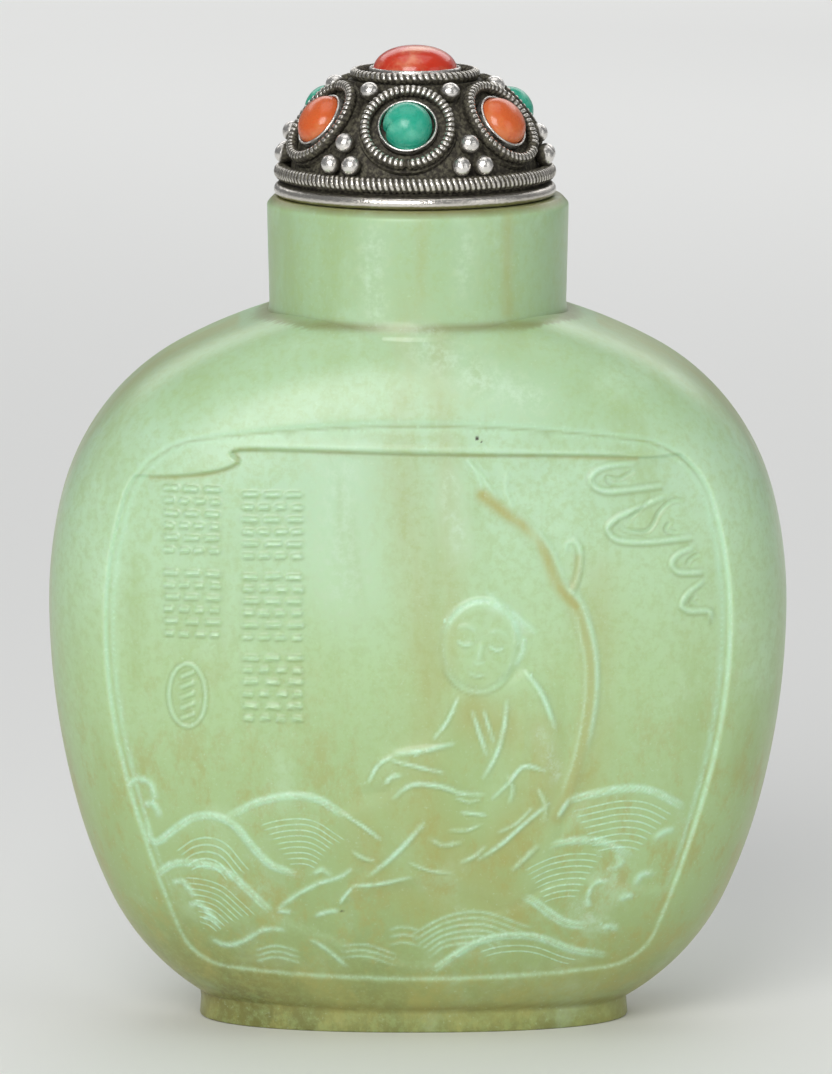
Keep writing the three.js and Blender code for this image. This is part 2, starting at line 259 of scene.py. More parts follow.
def inside_line(x, z, line):
    """True where a point is inside a closed polyline."""
    inside = np.zeros(x.shape, bool)
    for (x0, z0), (x1, z1) in zip(line, np.roll(line, -1, axis=0)):
        if z0 == z1:
            continue
        crosses = (z0 > z) != (z1 > z)
        inside ^= crosses & (x < (x1 - x0) * (z - z0) / (z1 - z0) + x0)
    return inside


# ---------------------------------------------------------------- relief

class Relief:
    """Adds up carving over points of a face: height above the ground, how frosty the cut is with painted
    highlight on it, and painted shade beside it.
    """

    def __init__(self, x, z):
        self.x = x
        self.z = z
        self.height, self.frost_and_highlight, self.shade, self.stain, self.flaw, self.mist_and_highlight = np.zeros((6, *x.shape))
        self.ripple, self.ripple_strength = np.zeros((2, *x.shape))
        self.ripple_within = np.full(x.shape, -9.0)

    def near(self, line, margin):
        low = line.min(axis=0) - margin
        high = line.max(axis=0) + margin
        found = (self.x > low[0]) & (self.x < high[0]) & (self.z > low[1]) & (self.z < high[1])
        return np.nonzero(found)[0]

    def stroke(self, points, width, height, frost_and_highlight, taper=0.2, steps=8, shade=0.0, split=0.0):
        """A raised line, or a cut one if its height is negative, thinning out at its ends.

        Frosting and painted highlight pale its top, in two lines if it is split, and painted shade darkens
        the crevice beside it.
        """
        line = smooth_line(points, steps)
        near = self.near(line, 3 * width)
        gap, place = line_distance(self.x[near], self.z[near], line)
        ends = np.clip(np.minimum(place, 1 - place) / max(taper, 1e-6), 0, 1) ** 0.5
        fade = 0.2 + 0.8 * ends
        self.height[near] += height * bell(gap, width) * fade
        lift(self.frost_and_highlight, near, frost_and_highlight * bell(gap - split * width, width * (1 - 0.55 * split)) * fade)
        lift(self.shade, near, shade * bell(gap - 1.35 * width, 0.5 * width) * fade)

    def strokes(self, lines, *settings, **more):
        """The same kind of stroke along several lines."""
        for line in lines:
            self.stroke(line, *settings, **more)

    def bank(self, points, height, edge, frost_and_highlight, steps=6):
        """A raised area inside a closed line, pale along its edge with frosting and painted highlight."""
        line = smooth_line(list(points) + [points[0]], steps)
        near = self.near(line, 3 * edge)
        x, z = self.x[near], self.z[near]
        gap, _ = line_distance(x, z, line)
        signed = np.where(inside_line(x, z, line), gap, -gap)
        rise = smooth_step(signed, -edge, edge)
        lift(self.height, near, height * rise)
        self.frost_and_highlight[near] *= 1 - rise
        lift(self.frost_and_highlight, near, frost_and_highlight * bell(signed - 0.6 * edge, 0.8 * edge))

    def spot(self, place, size):
        """A dark inclusion in the stone."""
        gap = np.hypot(self.x - place[0], self.z - place[1])
        self.flaw = np.maximum(self.flaw, smooth_step(gap, size, 0.6 * size))

    def dome(self, centre, half, height):
        """A smooth oval swelling."""
        spread = ((self.x - centre[0]) / half[0]) ** 2 + ((self.z - centre[1]) / half[1]) ** 2
        self.height += height * np.clip(1 - spread, 0, 1)

    def painted_glint(self, place, size):
        """A painted highlight: a small pale spot, a little raised."""
        gap = np.hypot(self.x - place[0], self.z - place[1])
        self.frost_and_highlight = np.maximum(self.frost_and_highlight, smooth_step(gap, size, 0.3 * size))
        self.height += 0.06 * bell(gap, size)

    def soften(self, field, points, width, amount):
        """A soft-edged streak along a line in one of the colour fields."""
        line = smooth_line(points, 6)
        near = self.near(line, 2.5 * width)
        gap, _ = line_distance(self.x[near], self.z[near], line)
        lift(field, near, amount * bell(gap, width))

    def crevice(self, points, width, amount):
        """A line of painted shade where a raised edge stands over the ground."""
        self.soften(self.shade, points, width, amount)

    def tint(self, points, width, amount):
        """A russet or olive tint along a line."""
        self.soften(self.stain, points, width, amount)

    def wave(self, crest, focus, lines, first, spacing, trim=(0.1, 0.1)):
        """A wave's double crest with fine ripples nested under it, drawn in towards a focus."""
        self.stroke(crest, 0.23, 0.18, 0.75, 0.12, split=0.6)
        line = smooth_line(crest, 6)
        centre = np.array(focus, float)
        spokes = line - centre
        angles = np.arctan2(spokes[:, 1], spokes[:, 0])
        order = np.argsort(angles)
        reaches = np.hypot(*spokes.T)
        near = self.near(np.vstack([line, centre]), 0)
        x = self.x[near] - centre[0]
        z = self.z[near] - centre[1]
        angle = np.arctan2(z, x)
        crest_reach = np.interp(angle, angles[order], reaches[order])
        along = np.interp(angle, angles[order], order / (len(line) - 1))
        depth = (1 - np.hypot(x, z) / crest_reach) * reaches.mean()
        ripple = (depth - first) / spacing
        narrowing = RIPPLE_NARROWING * np.clip(ripple, 0, lines)
        start = (along - trim[0] - narrowing) / RIPPLE_FADE
        end = (1 - trim[1] - narrowing - along) / RIPPLE_FADE
        within = np.minimum.reduce([ripple + 0.5, lines - 0.5 - ripple, start, end])
        strength = smooth_step(within, 0, 0.3)
        deeper = within > self.ripple_within[near]
        chosen = near[deeper]
        self.ripple[chosen] = ripple[deeper]
        self.ripple_within[chosen] = within[deeper]
        self.ripple_strength[chosen] = strength[deeper]
        self.height[near] += RIPPLE_HEIGHT * strength * np.cos(2 * math.pi * ripple)


def carve_cloud(relief):
    """The cloud bank along the panel's top edge, breaking into curled tongues on the right."""
    relief.bank([(-24, 40.4), (-18.3, 40.5), (-14.5, 40.9), (-12.5, 41.6), (-12, 42.5), (0, 42.3),
                 (12, 42.1), (15.2, 41.9), (18, 42), (24, 43), (24, 47), (0, 48), (-24, 47)],
                CLOUD_HEIGHT, 0.2, 0.0, 8)
    curl = [(-18.6, 40.35), (-16.5, 40.5), (-14.4, 40.8), (-12.9, 41.3), (-12.5, 41.9), (-12.8, 42.4)]
    ledge = [(-12.4, 42.5), (-6, 42.4), (0, 42.2), (7, 42.15), (15.2, 41.8)]
    # Painted shade in the crevice under the bank's lower edge, with an ochre tint along it.
    for edge in (curl, ledge):
        relief.crevice(edge, 0.15, 0.15)
        relief.tint(edge, 0.18, 0.5)
    relief.stroke([(-12.4, 42.85), (-4, 42.7), (4, 42.55), (14.5, 42.3)], 0.14, 0.05, 0.25)
    tongues = [
        [(15, 41.5), (13, 41.3), (12.1, 40.7), (12.2, 40), (13.2, 39.6), (15, 39.7), (17, 39.9)],
        [(17.3, 39.2), (15.6, 38.5), (14, 37.8), (13.2, 37), (13.9, 36.2), (16, 36), (19.1, 36.2)],
        [(19.2, 35.5), (18.2, 35.1), (17.7, 34.4), (18.2, 33.8), (19.9, 33.7)],
        [(20, 33.1), (18.9, 32.3), (18.4, 31.4), (19, 31), (20.3, 30.9), (20.5, 30.3)],
    ]
    # Each tongue is pale along its top, with painted shade under its lower edge.
    for tongue in tongues:
        relief.stroke(tongue, 0.2, 0.17, 0.42, 0.1, shade=0.35)
        relief.crevice([(x - 0.05, z - 0.28) for x, z in tongue[2:]], 0.14, 0.55)
    curls = [
        [(15, 40.9), (14, 40.4), (13.2, 40.5), (13.6, 40.1), (14.7, 40.2)],
        [(18.4, 38.8), (17.6, 38.7), (16.8, 38), (16.4, 37.2), (15.8, 36.7), (14.6, 36.8), (14, 37.2)],
        [(16.2, 38.9), (15.4, 38.2), (14.6, 37.6)],
        [(17.6, 37.3), (17.3, 36.8), (18, 36.5)],
        [(19.6, 34.9), (19, 34.6), (18.8, 34.2)],
        [(19.4, 32), (19.1, 31.6), (19.6, 31.5)],
    ]
    relief.strokes(curls, 0.15, -0.14, 0.15, shade=0.5)


def carve_water(relief):
    """Far and near banks of waves over the bottom of the panel."""
    relief.bank([(-23, 15.5), (-19, 15.4), (-18.4, 14.2), (-17.1, 15.2), (-14.6, 16.4), (-12.9, 16.5),
                 (-8.8, 17.9), (-5.6, 16.8), (-2.3, 14.7), (2, 12), (6, 12.6), (9, 14), (11.8, 17.9),
                 (15.5, 18.3), (18.4, 16.9), (19.4, 14), (23, 13), (23, 2), (0, 1), (-23, 2)],
                FAR_WATER_HEIGHT, 0.4, 0.1)
    relief.bank([(-23, 10.5), (-18.4, 11.7), (-15.4, 12.8), (-12.1, 11.2), (-10.5, 9.5), (-7, 8),
                 (-3, 6.2), (1.6, 5.6), (4, 8.6), (7.8, 10.5), (9.1, 11.4), (12, 12), (16, 11),
                 (23, 10.5), (23, 2), (0, 1), (-23, 2)], NEAR_WATER_HEIGHT, 0.5, 0.1)
    # Each wave: its crest, its focus, then how many ripples, the depth of the first and their spacing.
    waves = [
        ([(-19.1, 15.6), (-19, 14.5), (-18.3, 14.2), (-17.1, 15.2), (-15.9, 16.1), (-14.4, 16.4),
          (-12.9, 15.8), (-11.5, 14.1), (-10.3, 12.9), (-8.5, 12.2)],
         (-15.2, 8.5), 5, 1.5, 0.48, (0.3, 0.16)),
        ([(-13.4, 16.3), (-11.2, 17.5), (-8.9, 18), (-7, 17.8), (-5, 16.5), (-2.3, 14.6)],
         (-8.2, 8), 9, 1.6, 0.4, (0.16, 0.16)),
        ([(-18.6, 11.5), (-17.2, 12.6), (-15.4, 12.8), (-13.5, 12.3), (-12, 11), (-10.4, 9.4)],
         (-15.6, 5), 9, 1.1, 0.4, (0.28, 0.05)),
        ([(10.6, 17.7), (12.4, 18.1), (14.4, 18.4), (16.4, 18.1), (18.6, 16.8)],
         (13.6, 8), 8, 0.9, 0.48, (0.0, 0.04)),
        ([(7.2, 13.4), (9, 14.3), (11, 14.7), (13, 14.5), (14.8, 13.5)], (9.6, 5), 8, 1, 0.45, (0.02, 0.2)),
        ([(1.2, 5), (2.6, 6.1), (4.4, 7.2), (6.4, 7.6), (8.5, 7.4), (10.8, 6.4), (13.2, 5.8)],
         (7, 0), 2, 0.8, 0.45, (0.3, 0.1)),
    ]
    for wave in waves:
        relief.wave(*wave)
    relief.stroke([(5.2, 10.9), (6.6, 10.9), (8, 10.3), (9.1, 9.4), (10.4, 8.5), (11.9, 8.2)],
                  0.24, 0.15, 0.8, 0.15, split=0.7)
    relief.stroke([(13.9, 13.6), (14.3, 12.9), (13.3, 12.4)], 0.2, 0.12, 0.6)
    relief.stroke([(-14.5, 7), (-13.6, 6.6), (-12.4, 6.9), (-10.9, 7.9), (-9.4, 8)], 0.2, 0.13, 0.75)
    relief.stroke([(-7.6, 7.3), (-6.4, 6.5), (-5, 5.2)], 0.16, 0.1, 0.65)
    for k in range(6):
        drop = 0.46 * k
        relief.stroke([(-0.6 + 0.3 * k, 7.6 - 0.7 * drop), (2, 9.1 - drop), (4.6, 9.4 - drop),
                       (7.9 - 0.5 * k, 8.2 - 0.7 * drop)], 0.1, 0.06, 0.6)
    # Short lines that repeat downwards: the top one, the step down and how pale they are with frosting and
    # painted highlight.
    echoes = [
        ([(-11.4, 6.3), (-10, 6.7), (-8.4, 6.3)], 0.45, 0.55),
        ([(-5.4, 6.8), (-3.6, 6.9), (-1.6, 6.2)], 0.45, 0.5),
        ([(-2, 8.1), (-1, 8.3), (0.2, 8.0)], 0.6, 0.45),
    ]
    for points, step, frost_and_highlight in echoes:
        relief.strokes([[(x, z - step * k) for x, z in points] for k in range(3)], 0.1, 0.05, frost_and_highlight)


def carve_foam(relief):
    """Small curls of foam at the ends of the waves."""
    foam = [
        [(-20.5, 18), (-19.8, 18.7), (-18.8, 18.5), (-18.4, 17.3)],
        [(-19.3, 16.8), (-18.6, 17), (-18.1, 16.1)],
        [(-17.3, 11.2), (-16.5, 11.3), (-15.7, 10.2)],
        [(-16.1, 9.5), (-15.4, 9.7), (-14.2, 8.5)],
        [(-15.1, 8.5), (-14.6, 8.7), (-14.1, 8.1)],
        [(16.6, 14.5), (17.2, 15), (18, 15.2)],
        [(15.3, 11.2), (15.7, 11.9), (16.6, 12)],
        [(14.2, 10.1), (14.7, 10.4), (15.2, 10.3)],
        [(13, 7.8), (13.5, 8.1), (14.1, 7.8)],
    ]
    spray = [
        [(-9.9, 9.5), (-8.6, 10.6), (-6.9, 11.6), (-5.6, 12), (-4.6, 12.7)],
        [(-9.9, 9.4), (-9.4, 9.4), (-8.9, 9.35)],
        [(-7.3, 12.3), (-6.7, 12.6), (-6.1, 12.2)],
        [(-7.2, 9.1), (-6.4, 9.4), (-5.6, 9.5)],
        [(12, 9.7), (12, 10.7), (12.5, 11.5), (13.4, 11.6)],
    ]
    relief.strokes(foam, 0.24, 0.14, 0.75)
    relief.strokes(spray, 0.17, 0.14, 0.75)


def carve_branch(relief):
    """The gnarled branch that rises behind the figure's shoulder and bends over its head."""
    spine = [(4.5, 39.4), (6, 38.2), (7.6, 37), (8.8, 35.4), (9.8, 33), (11, 31.6), (11.9, 28.4),
             (12, 25), (11.4, 21.4), (10.4, 18), (9.6, 16.4)]
    knot = [(10.9, 36.3), (11.3, 35.3), (11.1, 33.6), (10.6, 32.4)]
    # Grains and twigs: each with its width, height, and paleness of frosting and painted highlight.
    grains = [
        ([(x + 0.5, z + 0.2) for x, z in spine[2:5]], 0.17, 0.08, 0.4),
        ([(x + 0.45, z + 0.1) for x, z in spine[4:9]], 0.2, 0.12, 0.6),
        ([(x - 0.35, z) for x, z in spine[5:10]], 0.16, 0.06, 0.35),
        ([(11, 31.2), (11.3, 29.8), (11.35, 28.2)], 0.12, 0.06, 0.35),
        ([(3.4, 41.9), (4.1, 40.9), (4.5, 39.8)], 0.14, 0.1, 0.45),
        ([(4, 41.4), (4.8, 40.2), (5.4, 39.4)], 0.12, 0.08, 0.35),
        ([(6.2, 41), (6.1, 39.8), (6.6, 38.6)], 0.12, 0.08, 0.3),
        ([(10.3, 35.4), (10.4, 36), (10.9, 36.1)], 0.14, 0.1, 0.4),
    ]
    relief.stroke(spine, 0.5, 0.2, 0.08, 0.1)
    relief.stroke(knot, 0.2, 0.15, 0.4, shade=0.4)
    for grain in grains:
        relief.stroke(*grain)
    relief.tint(spine[:6], 0.42, 0.95)
    relief.tint([(11.2, 35), (11.1, 33.8), (10.8, 33)], 0.3, 0.8)
    relief.tint(spine[5:], 0.6, 0.6)


def carve_robe(relief):
    """The seated figure's robe, sleeve, hand, lap and the leg drawn down to the foot."""
    relief.bank([(3, 26), (1.6, 23.4), (0.4, 21.9), (-2, 21.1), (-3.7, 19), (-2.2, 18.4), (-4.4, 17.4),
                 (-5.6, 16), (-3.6, 13), (-5.6, 10.2), (-0.6, 11.4), (3.6, 11), (6.4, 9.6), (8.8, 12),
                 (9.8, 15.6), (9.4, 19.6), (9.6, 22.8), (8, 26.6), (5.6, 26.2)], FIGURE_HEIGHT, 0.75, 0.05)
    folds = [
        [(2.8, 25.2), (2.1, 23.6), (1.1, 22.2)],
        [(7.5, 27), (8.7, 25.3), (9.6, 22.9)],
        [(3.8, 24.2), (4.3, 22.6), (4.8, 21.1)],
        [(4.6, 24.3), (4.9, 23.2), (5.3, 22)],
        [(6.2, 25), (6, 23), (5.5, 21.2), (4.6, 19.4)],
        [(-1.6, 21.1), (0.4, 21.4), (2.5, 21.9)],
        [(-1.9, 20.7), (0, 20.2), (1.8, 19.8)],
        [(-3.5, 19), (-2.8, 20.3), (-1.8, 20.9)],
        [(-2.3, 19), (-1.8, 19.5), (-1.2, 19.6)],
        [(-1.8, 17.9), (-0.4, 18.9), (1.6, 18.8), (3, 18.3), (4.6, 18.2)],
        [(3, 16.9), (3.9, 16.8), (4.8, 16.7)],
        [(5.2, 17.9), (6.3, 19), (7.4, 20.2), (9, 19.9)],
        [(0.4, 16.1), (-1.4, 14), (-3.4, 12.2)],
        [(-4.6, 11.4), (-2.6, 11.6), (-0.5, 12.1)],
        [(-4.6, 11.3), (-5.1, 10.7), (-5.5, 10)],
        [(4.2, 13.4), (5.8, 14.5), (7.4, 16), (9.2, 17.5)],
        [(10.6, 17.8), (10.1, 17), (9.8, 16.5)],
        [(-5.4, 16.9), (-4, 16), (-2.6, 14.9)],
    ]
    faint_folds = [
        [(2.2, 15.6), (3.4, 15.6), (4.4, 16)],
        [(3, 13.2), (4, 13.7), (4.8, 14.4)],
        [(0.9, 14.9), (1.9, 14.5), (3, 14.7)],
        [(-0.6, 13.2), (0.8, 12.6), (2.4, 12.4)],
        [(5.6, 15.4), (6.8, 16), (8, 17.2)],
        [(6.6, 12.6), (7.4, 13.4), (8.4, 14.4)],
        [(-4.6, 14), (-3.8, 13.5), (-3, 13.3)],
        [(2.6, 18), (3.6, 17.7), (4.4, 17.9)],
        [(6.2, 19.6), (6.6, 18.6), (6.4, 17.6)],
        [(8.4, 18.6), (8.9, 17.4), (8.8, 16.2)],
    ]
    for number, fold in enumerate(folds + faint_folds):
        width = 0.15 + 0.03 * math.sin(1.7 * number)
        frost_and_highlight = 0.85 if number < len(folds) else 0.5
        relief.stroke(fold, width, 0.15, frost_and_highlight, 0.3, shade=0.3)
    ridges = [[(7, 24.8), (7.4, 22.8), (7.1, 20.6)], [(1.2, 21), (2.4, 20), (3.4, 18.8)]]
    relief.strokes(ridges, 0.4, 0.08, 0.0, 0.3)
    relief.tint([(4, 24), (7.6, 22), (8.4, 18), (6, 14)], 1.8, 0.55)
    relief.tint([(-1, 18), (2, 14), (6, 10)], 2.2, 0.4)
    relief.tint([(-4, 16.5), (-3, 12.5), (0, 10)], 1.5, 0.35)


HEAD_CENTRE = np.array([4.35, 28.8])
HEAD_HALF = np.array([2.65, 3.2])
HEAD_TILT = math.radians(-9)


def head_line(*places):
    """A line over the head, its places given from the head's centre in half-widths and half-heights."""
    across, up = (np.array(places) * HEAD_HALF).T
    x = across * math.cos(HEAD_TILT) - up * math.sin(HEAD_TILT)
    z = across * math.sin(HEAD_TILT) + up * math.cos(HEAD_TILT)
    return HEAD_CENTRE + np.column_stack([x, z])


def head_arc(start, end, count):
    """Part of the head's outline, between two angles in degrees."""
    turn = np.radians(np.linspace(start, end, count))
    return head_line(*zip(np.cos(turn), np.sin(turn)))


def carve_head(relief):
    """The head: a domed oval under a smooth cap of hair, with a plain, calm, evenly set face."""
    relief.bank(head_arc(0, 360, 14)[:-1], FIGURE_HEIGHT, 0.35, 0.2)
    relief.dome(HEAD_CENTRE, HEAD_HALF, 0.16)
    relief.stroke(head_arc(8, 172, 9), 0.26, 0.1, 0.7, 0.15)
    relief.stroke(head_line((1.05, 0.35), (1.12, 0.05), (0.98, -0.3)), 0.2, 0.1, 0.6)
    relief.stroke(head_line((-0.1, 1.2), (0.45, 0.95), (1.45, 0.45)), 0.22, 0.1, 0.5)
    relief.stroke(head_arc(215, 330, 7), 0.2, 0.08, 0.35, shade=0.4)
    for side in (-0.42, 0.42):
        brow = head_line((side - 0.26, 0.33), (side, 0.41), (side + 0.26, 0.33))
        lid = head_line((side - 0.2, 0.05), (side, -0.01), (side + 0.2, 0.05))
        relief.stroke(brow, 0.15, 0.06, 0.3)
        relief.stroke(lid, 0.13, 0.1, 0.6, shade=0.25)
    relief.stroke(head_line((0.03, 0.1), (0, -0.15), (0.02, -0.3)), 0.17, 0.13, 0.35)
    relief.stroke(head_line((-0.13, -0.33), (0.02, -0.37), (0.16, -0.33)), 0.12, 0.08, 0.4)
    relief.stroke(head_line((-0.2, -0.6), (0, -0.64), (0.2, -0.6)), 0.14, 0.1, 0.45, shade=0.25)
    for cheek in (-0.5, 0.5):
        relief.stroke(head_line((cheek, -0.2), (0.9 * cheek, -0.4)), 0.5, 0.06, 0.0)


def carve_marks(relief):
    """Rows of plain short strokes where the inscription sits, and a small oval seal of dashes."""
    chance = np.random.default_rng(7)
    columns = [(-10.05, 2.3, 39.4, 3, 5.75), (-15.7, 2.15, 39.7, 2, 5.9)]
    for centre, half, top, blocks, step in columns:
        for block in range(blocks):
            for row in range(6):
                dash_row(relief, centre, half, top - step * block - 0.86 * row, 3 + row % 2, chance)
    ring = [(-16.1 + 1.3 * math.cos(a), 25.1 + 2.25 * math.sin(a)) for a in np.linspace(0, 2 * math.pi, 13)]
    relief.stroke(ring, 0.15, 0.14, 0.4, 0, 5, 0.4)
    for row in range(5):
        level = 23.6 + 0.75 * row
        relief.stroke([(-16.6, level - 0.22), (-15.6, level + 0.22)], 0.16, 0.2, 0.36, 0.1, 4, 0.4)


def dash_row(relief, centre, half, level, count, chance):
    """One row of the marks: short raised dashes, set between those of the rows above and below."""
    pitch = 2 * half / count
    for k in range(count):
        left = centre - half + pitch * k + chance.uniform(0.1, 0.2)
        right = left + pitch - chance.uniform(0.34, 0.46)
        relief.stroke([(left, level), (right, level + chance.uniform(-0.06, 0.06))], 0.17, 0.24, 0.36,
                      0.1, 4, 0.5)


def carve_stains(relief):
    """Olive and russet veins that run down through the stone, and paler patches beside them: the stone's own
    milky haze together with painted soft highlights.
    """
    veins = [
        ([(-1, 52), (-1.4, 44), (-0.6, 36), (0.6, 28), (0.2, 20), (1.5, 10)], 1.7, 0.36),
        ([(1.4, 50), (1.8, 42), (2.4, 34), (1.6, 26)], 1.0, 0.35),
        ([(12.6, 34), (13, 26), (12, 18)], 1.4, 0.3),
        ([(-16, 5), (-4, 2.6), (8, 2.6), (17, 5.4)], 2.2, 0.4),
        ([(0.2, 51.4), (0.1, 54.5), (0.3, 58)], 0.55, 0.25),
        ([(6.3, 51.6), (6.2, 55), (6.3, 58.4)], 0.4, 0.35),
    ]
    # Pale patches of milky haze, some of them painted soft highlights, as on the shoulder below the neck and
    # left of the panel's top.
    pale_patches = [
        ([(2.2, 40.6), (2.4, 38), (2.9, 35.6)], 0.8, 0.8),
        ([(-5.2, 41), (-5.6, 37), (-5, 33)], 2.4, 0.6),
        ([(5.2, 31.7), (6.4, 31.2), (7.4, 30)], 0.45, 0.7),
        ([(11.4, 9.6), (12.6, 8.4)], 0.9, 0.5),
        ([(8.5, 22.5), (9.6, 19.6)], 0.6, 0.5),
        ([(-2.9, 51.8), (-3.2, 54), (-3.1, 57)], 1.1, 0.6),
        ([(3.2, 57.4), (3.4, 55.6), (3.2, 54)], 0.9, 0.5),
        ([(0.4, 49.6), (4, 47.6), (8, 46)], 1.6, 0.6),
    ]
    for vein in veins:
        relief.tint(*vein)
    for cloud in pale_patches:
        relief.soften(relief.mist_and_highlight, *cloud)


def carve_flaws_and_glints(relief):
    """A dark fleck near the top border, a speck among the lower waves, and a few painted glints."""
    relief.spot((4.1, 43.4), 0.16)
    relief.spot((4.4, 43.15), 0.1)
    relief.spot((-5.3, 9.5), 0.1)
    for place in ((-0.1, 21.1), (7.4, 29.2), (1.9, 30.6), (-18.6, 17.2), (12.9, 8.3), (7.9, 26.7)):
        relief.painted_glint(place, 0.16)


def front_relief(x, z):
    relief = Relief(x, z)
    carve_water(relief)
    carve_foam(relief)
    carve_robe(relief)
    carve_branch(relief)
    carve_head(relief)
    carve_marks(relief)
    carve_cloud(relief)
    carve_stains(relief)
    carve_flaws_and_glints(relief)
    return relief


def back_relief(x, z):
    """The hidden face is plainer: a low bank of waves under an empty ground."""
    relief = Relief(x, z)
    relief.bank([(-23, 10.5), (-18.4, 11.7), (-15.4, 12.8), (-12.1, 11.2), (-7, 8.6), (0, 9.6),
                 (7.8, 10.5), (12, 12.4), (16, 11.4), (23, 10.5), (23, 2), (0, 1), (-23, 2)],
                NEAR_WATER_HEIGHT, 0.5, 0.1)
    relief.wave([(-18.4, 11.7), (-15.4, 12.9), (-12.1, 11.2), (-9.5, 9.4)], (-14.5, 5.5), 5, 1.2, 0.5)
    relief.wave([(-6, 8.8), (-2, 10.4), (2, 10.2), (6.6, 8.4)], (0, 1.5), 5, 1.1, 0.5)
    relief.wave([(8.6, 10.8), (12, 12.8), (15.4, 11.8), (18, 9.8)], (13, 4.5), 5, 1.2, 0.5)
    return relief


# ---------------------------------------------------------------- bottle surface

body_oval = Oval(BODY)
panel_oval = Oval(PANEL)


def depth_power(x, height):
    rise = np.sin(np.arctan2(height, np.abs(x)))
    return (SHOULDER_POWER + BASE_POWER) / 2 + rise * (SHOULDER_POWER - BASE_POWER) / 2


def face_cut(x, z, relief):
    """How deep each point is cut below the plain face."""
    sunk = smooth_step(panel_oval.inside(x, z), -0.25, 0.3)
    return sunk * GROUND_DEPTH - np.minimum(relief.height * sunk, GROUND_DEPTH * 1.05)


def disc_place(s, t, oval):
    """Where a place on a square patch lands inside an oval: x, z and its share of the way to the rim."""
    u = s * np.sqrt(1 - t * t / 2)
    v = t * np.sqrt(1 - s * s / 2)
    share = np.sin(np.clip(np.hypot(u, v), 0, 1) * math.pi / 2)
    share = np.where(np.hypot(u, v) > 1 - 1e-9, 1.0, share)
    turn = np.arctan2(v, u)
    reach = oval.reach(np.cos(turn), np.sin(turn)) * share
    return reach * np.cos(turn), oval.level + reach * np.sin(turn), share


def leaf_blocks(wanted):
    """Square blocks of lattice cells, each no bigger than the smallest block any of its cells wants."""
    leaves = []
    covered = np.zeros(wanted.shape, bool)
    for size in (8, 4, 2, 1):
        tiles = LATTICE // size
        whole = wanted.reshape(tiles, size, tiles, size).min(axis=(1, 3)) >= size
        whole &= ~covered[::size, ::size]
        rows, columns = np.nonzero(whole)
        leaves += [(row * size, column * size, size) for row, column in zip(rows, columns)]
        covered |= np.kron(whole, np.ones((size, size), bool))
    return leaves


def patch(wanted):
    """Lattice places and faces of a square patch, fine where small blocks are wanted."""
    leaves = leaf_blocks(wanted)
    used = np.zeros((LATTICE + 1, LATTICE + 1), bool)
    for row, column, size in leaves:
        used[row:row + size + 1:size, column:column + size + 1:size] = True
    faces = []
    for row, column, size in leaves:
        walk = [(row, column + k) for k in range(size)]
        walk += [(row + k, column + size) for k in range(size)]
        walk += [(row + size, column + size - k) for k in range(size)]
        walk += [(row + size - k, column) for k in range(size)]
        ring = [place for place in walk if used[place]]
        if len(ring) == 4:
            faces.append(ring)
            continue
        centre = (row + size // 2, column + size // 2)
        faces += [[centre, ring[k - 1], ring[k]] for k in range(len(ring))]
    return faces


def wanted_blocks(relief_of):
    """The block size each lattice cell wants: small over carving and at the rim."""
    middle = (np.arange(LATTICE) + 0.5) / LATTICE * 2 - 1
    t, s = np.meshgrid(middle, middle, indexing="ij")
    x, z, share = disc_place(s.ravel(), t.ravel(), body_oval)
    relief = relief_of(x, z)
    cut = face_cut(x, z, relief).reshape(t.shape)
    colour = np.hypot(*np.gradient(relief.frost_and_highlight.reshape(t.shape)))
    colour += np.hypot(*np.gradient((relief.shade + 2 * relief.flaw).reshape(t.shape)))
    step = np.hypot(*np.gradient(cut)) + COLOUR_WEIGHT * colour
    wanted = np.full(t.shape, FLAT_BLOCK)
    wanted[share.reshape(t.shape) > RIM_SHARE] = RIM_BLOCK
    wanted[step > MEDIUM_STEP] = 2
    wanted[step > FINE_STEP] = 1
    edge = np.ones(t.shape, bool)
    edge[RIM_BLOCK:-RIM_BLOCK, RIM_BLOCK:-RIM_BLOCK] = False
    wanted[edge] = RIM_BLOCK
    return wanted


def face_points(places, side, relief_of):
    """Lattice places turned into points of the front (side -1) or back (side 1) face."""
    t, s = (np.array(places, float) / LATTICE * 2 - 1).T
    x, z, share = disc_place(s, t, body_oval)
    flip = -side
    relief = relief_of(x * flip, z)
    power = depth_power(x, z - BODY["level"])
    bulge = np.clip(1 - share ** power, 0, 1) ** (1 / power)
    depth = HALF_DEPTH - face_cut(x * flip, z, relief)
    return np.column_stack([x, side * depth * bulge, z])


def body_object():
    """The whole closed body: a front and a back patch that share their rim."""
    points = []
    faces = []
    rim = {}
    for side, relief_of in ((-1, front_relief), (1, back_relief)):
        patch_faces = patch(wanted_blocks(relief_of))
        places = sorted({place for face in patch_faces for place in face})
        made = face_points(places, side, relief_of)
        number = {}
        for place, point in zip(places, made):
            on_rim = 0 in place or LATTICE in place
            if on_rim and place in rim:
                number[place] = rim[place]
                continue
            number[place] = len(points)
            points.append(point)
            if on_rim:
                rim[place] = number[place]
        order = slice(None) if side < 0 else slice(None, None, -1)
        faces += [[number[place] for place in face][order] for face in patch_faces]
    return mesh_object("bottle_body", np.array(points), faces)


# ---------------------------------------------------------------- mesh helpers

SLAB_HEIGHT = 80
SLAB_REACH = 120


def mesh_object(name, points, faces):
    """A smooth-shaded mesh object from points in millimetres."""
    mesh = bpy.data.meshes.new(name)
    mesh.from_pydata((np.asarray(points) * MM).tolist(), [], faces)
    mesh.polygons.foreach_set("use_smooth", [True] * len(mesh.polygons))
    mesh.update()
    piece = bpy.data.objects.new(name, mesh)
    bpy.context.scene.collection.objects.link(piece)
    return piece


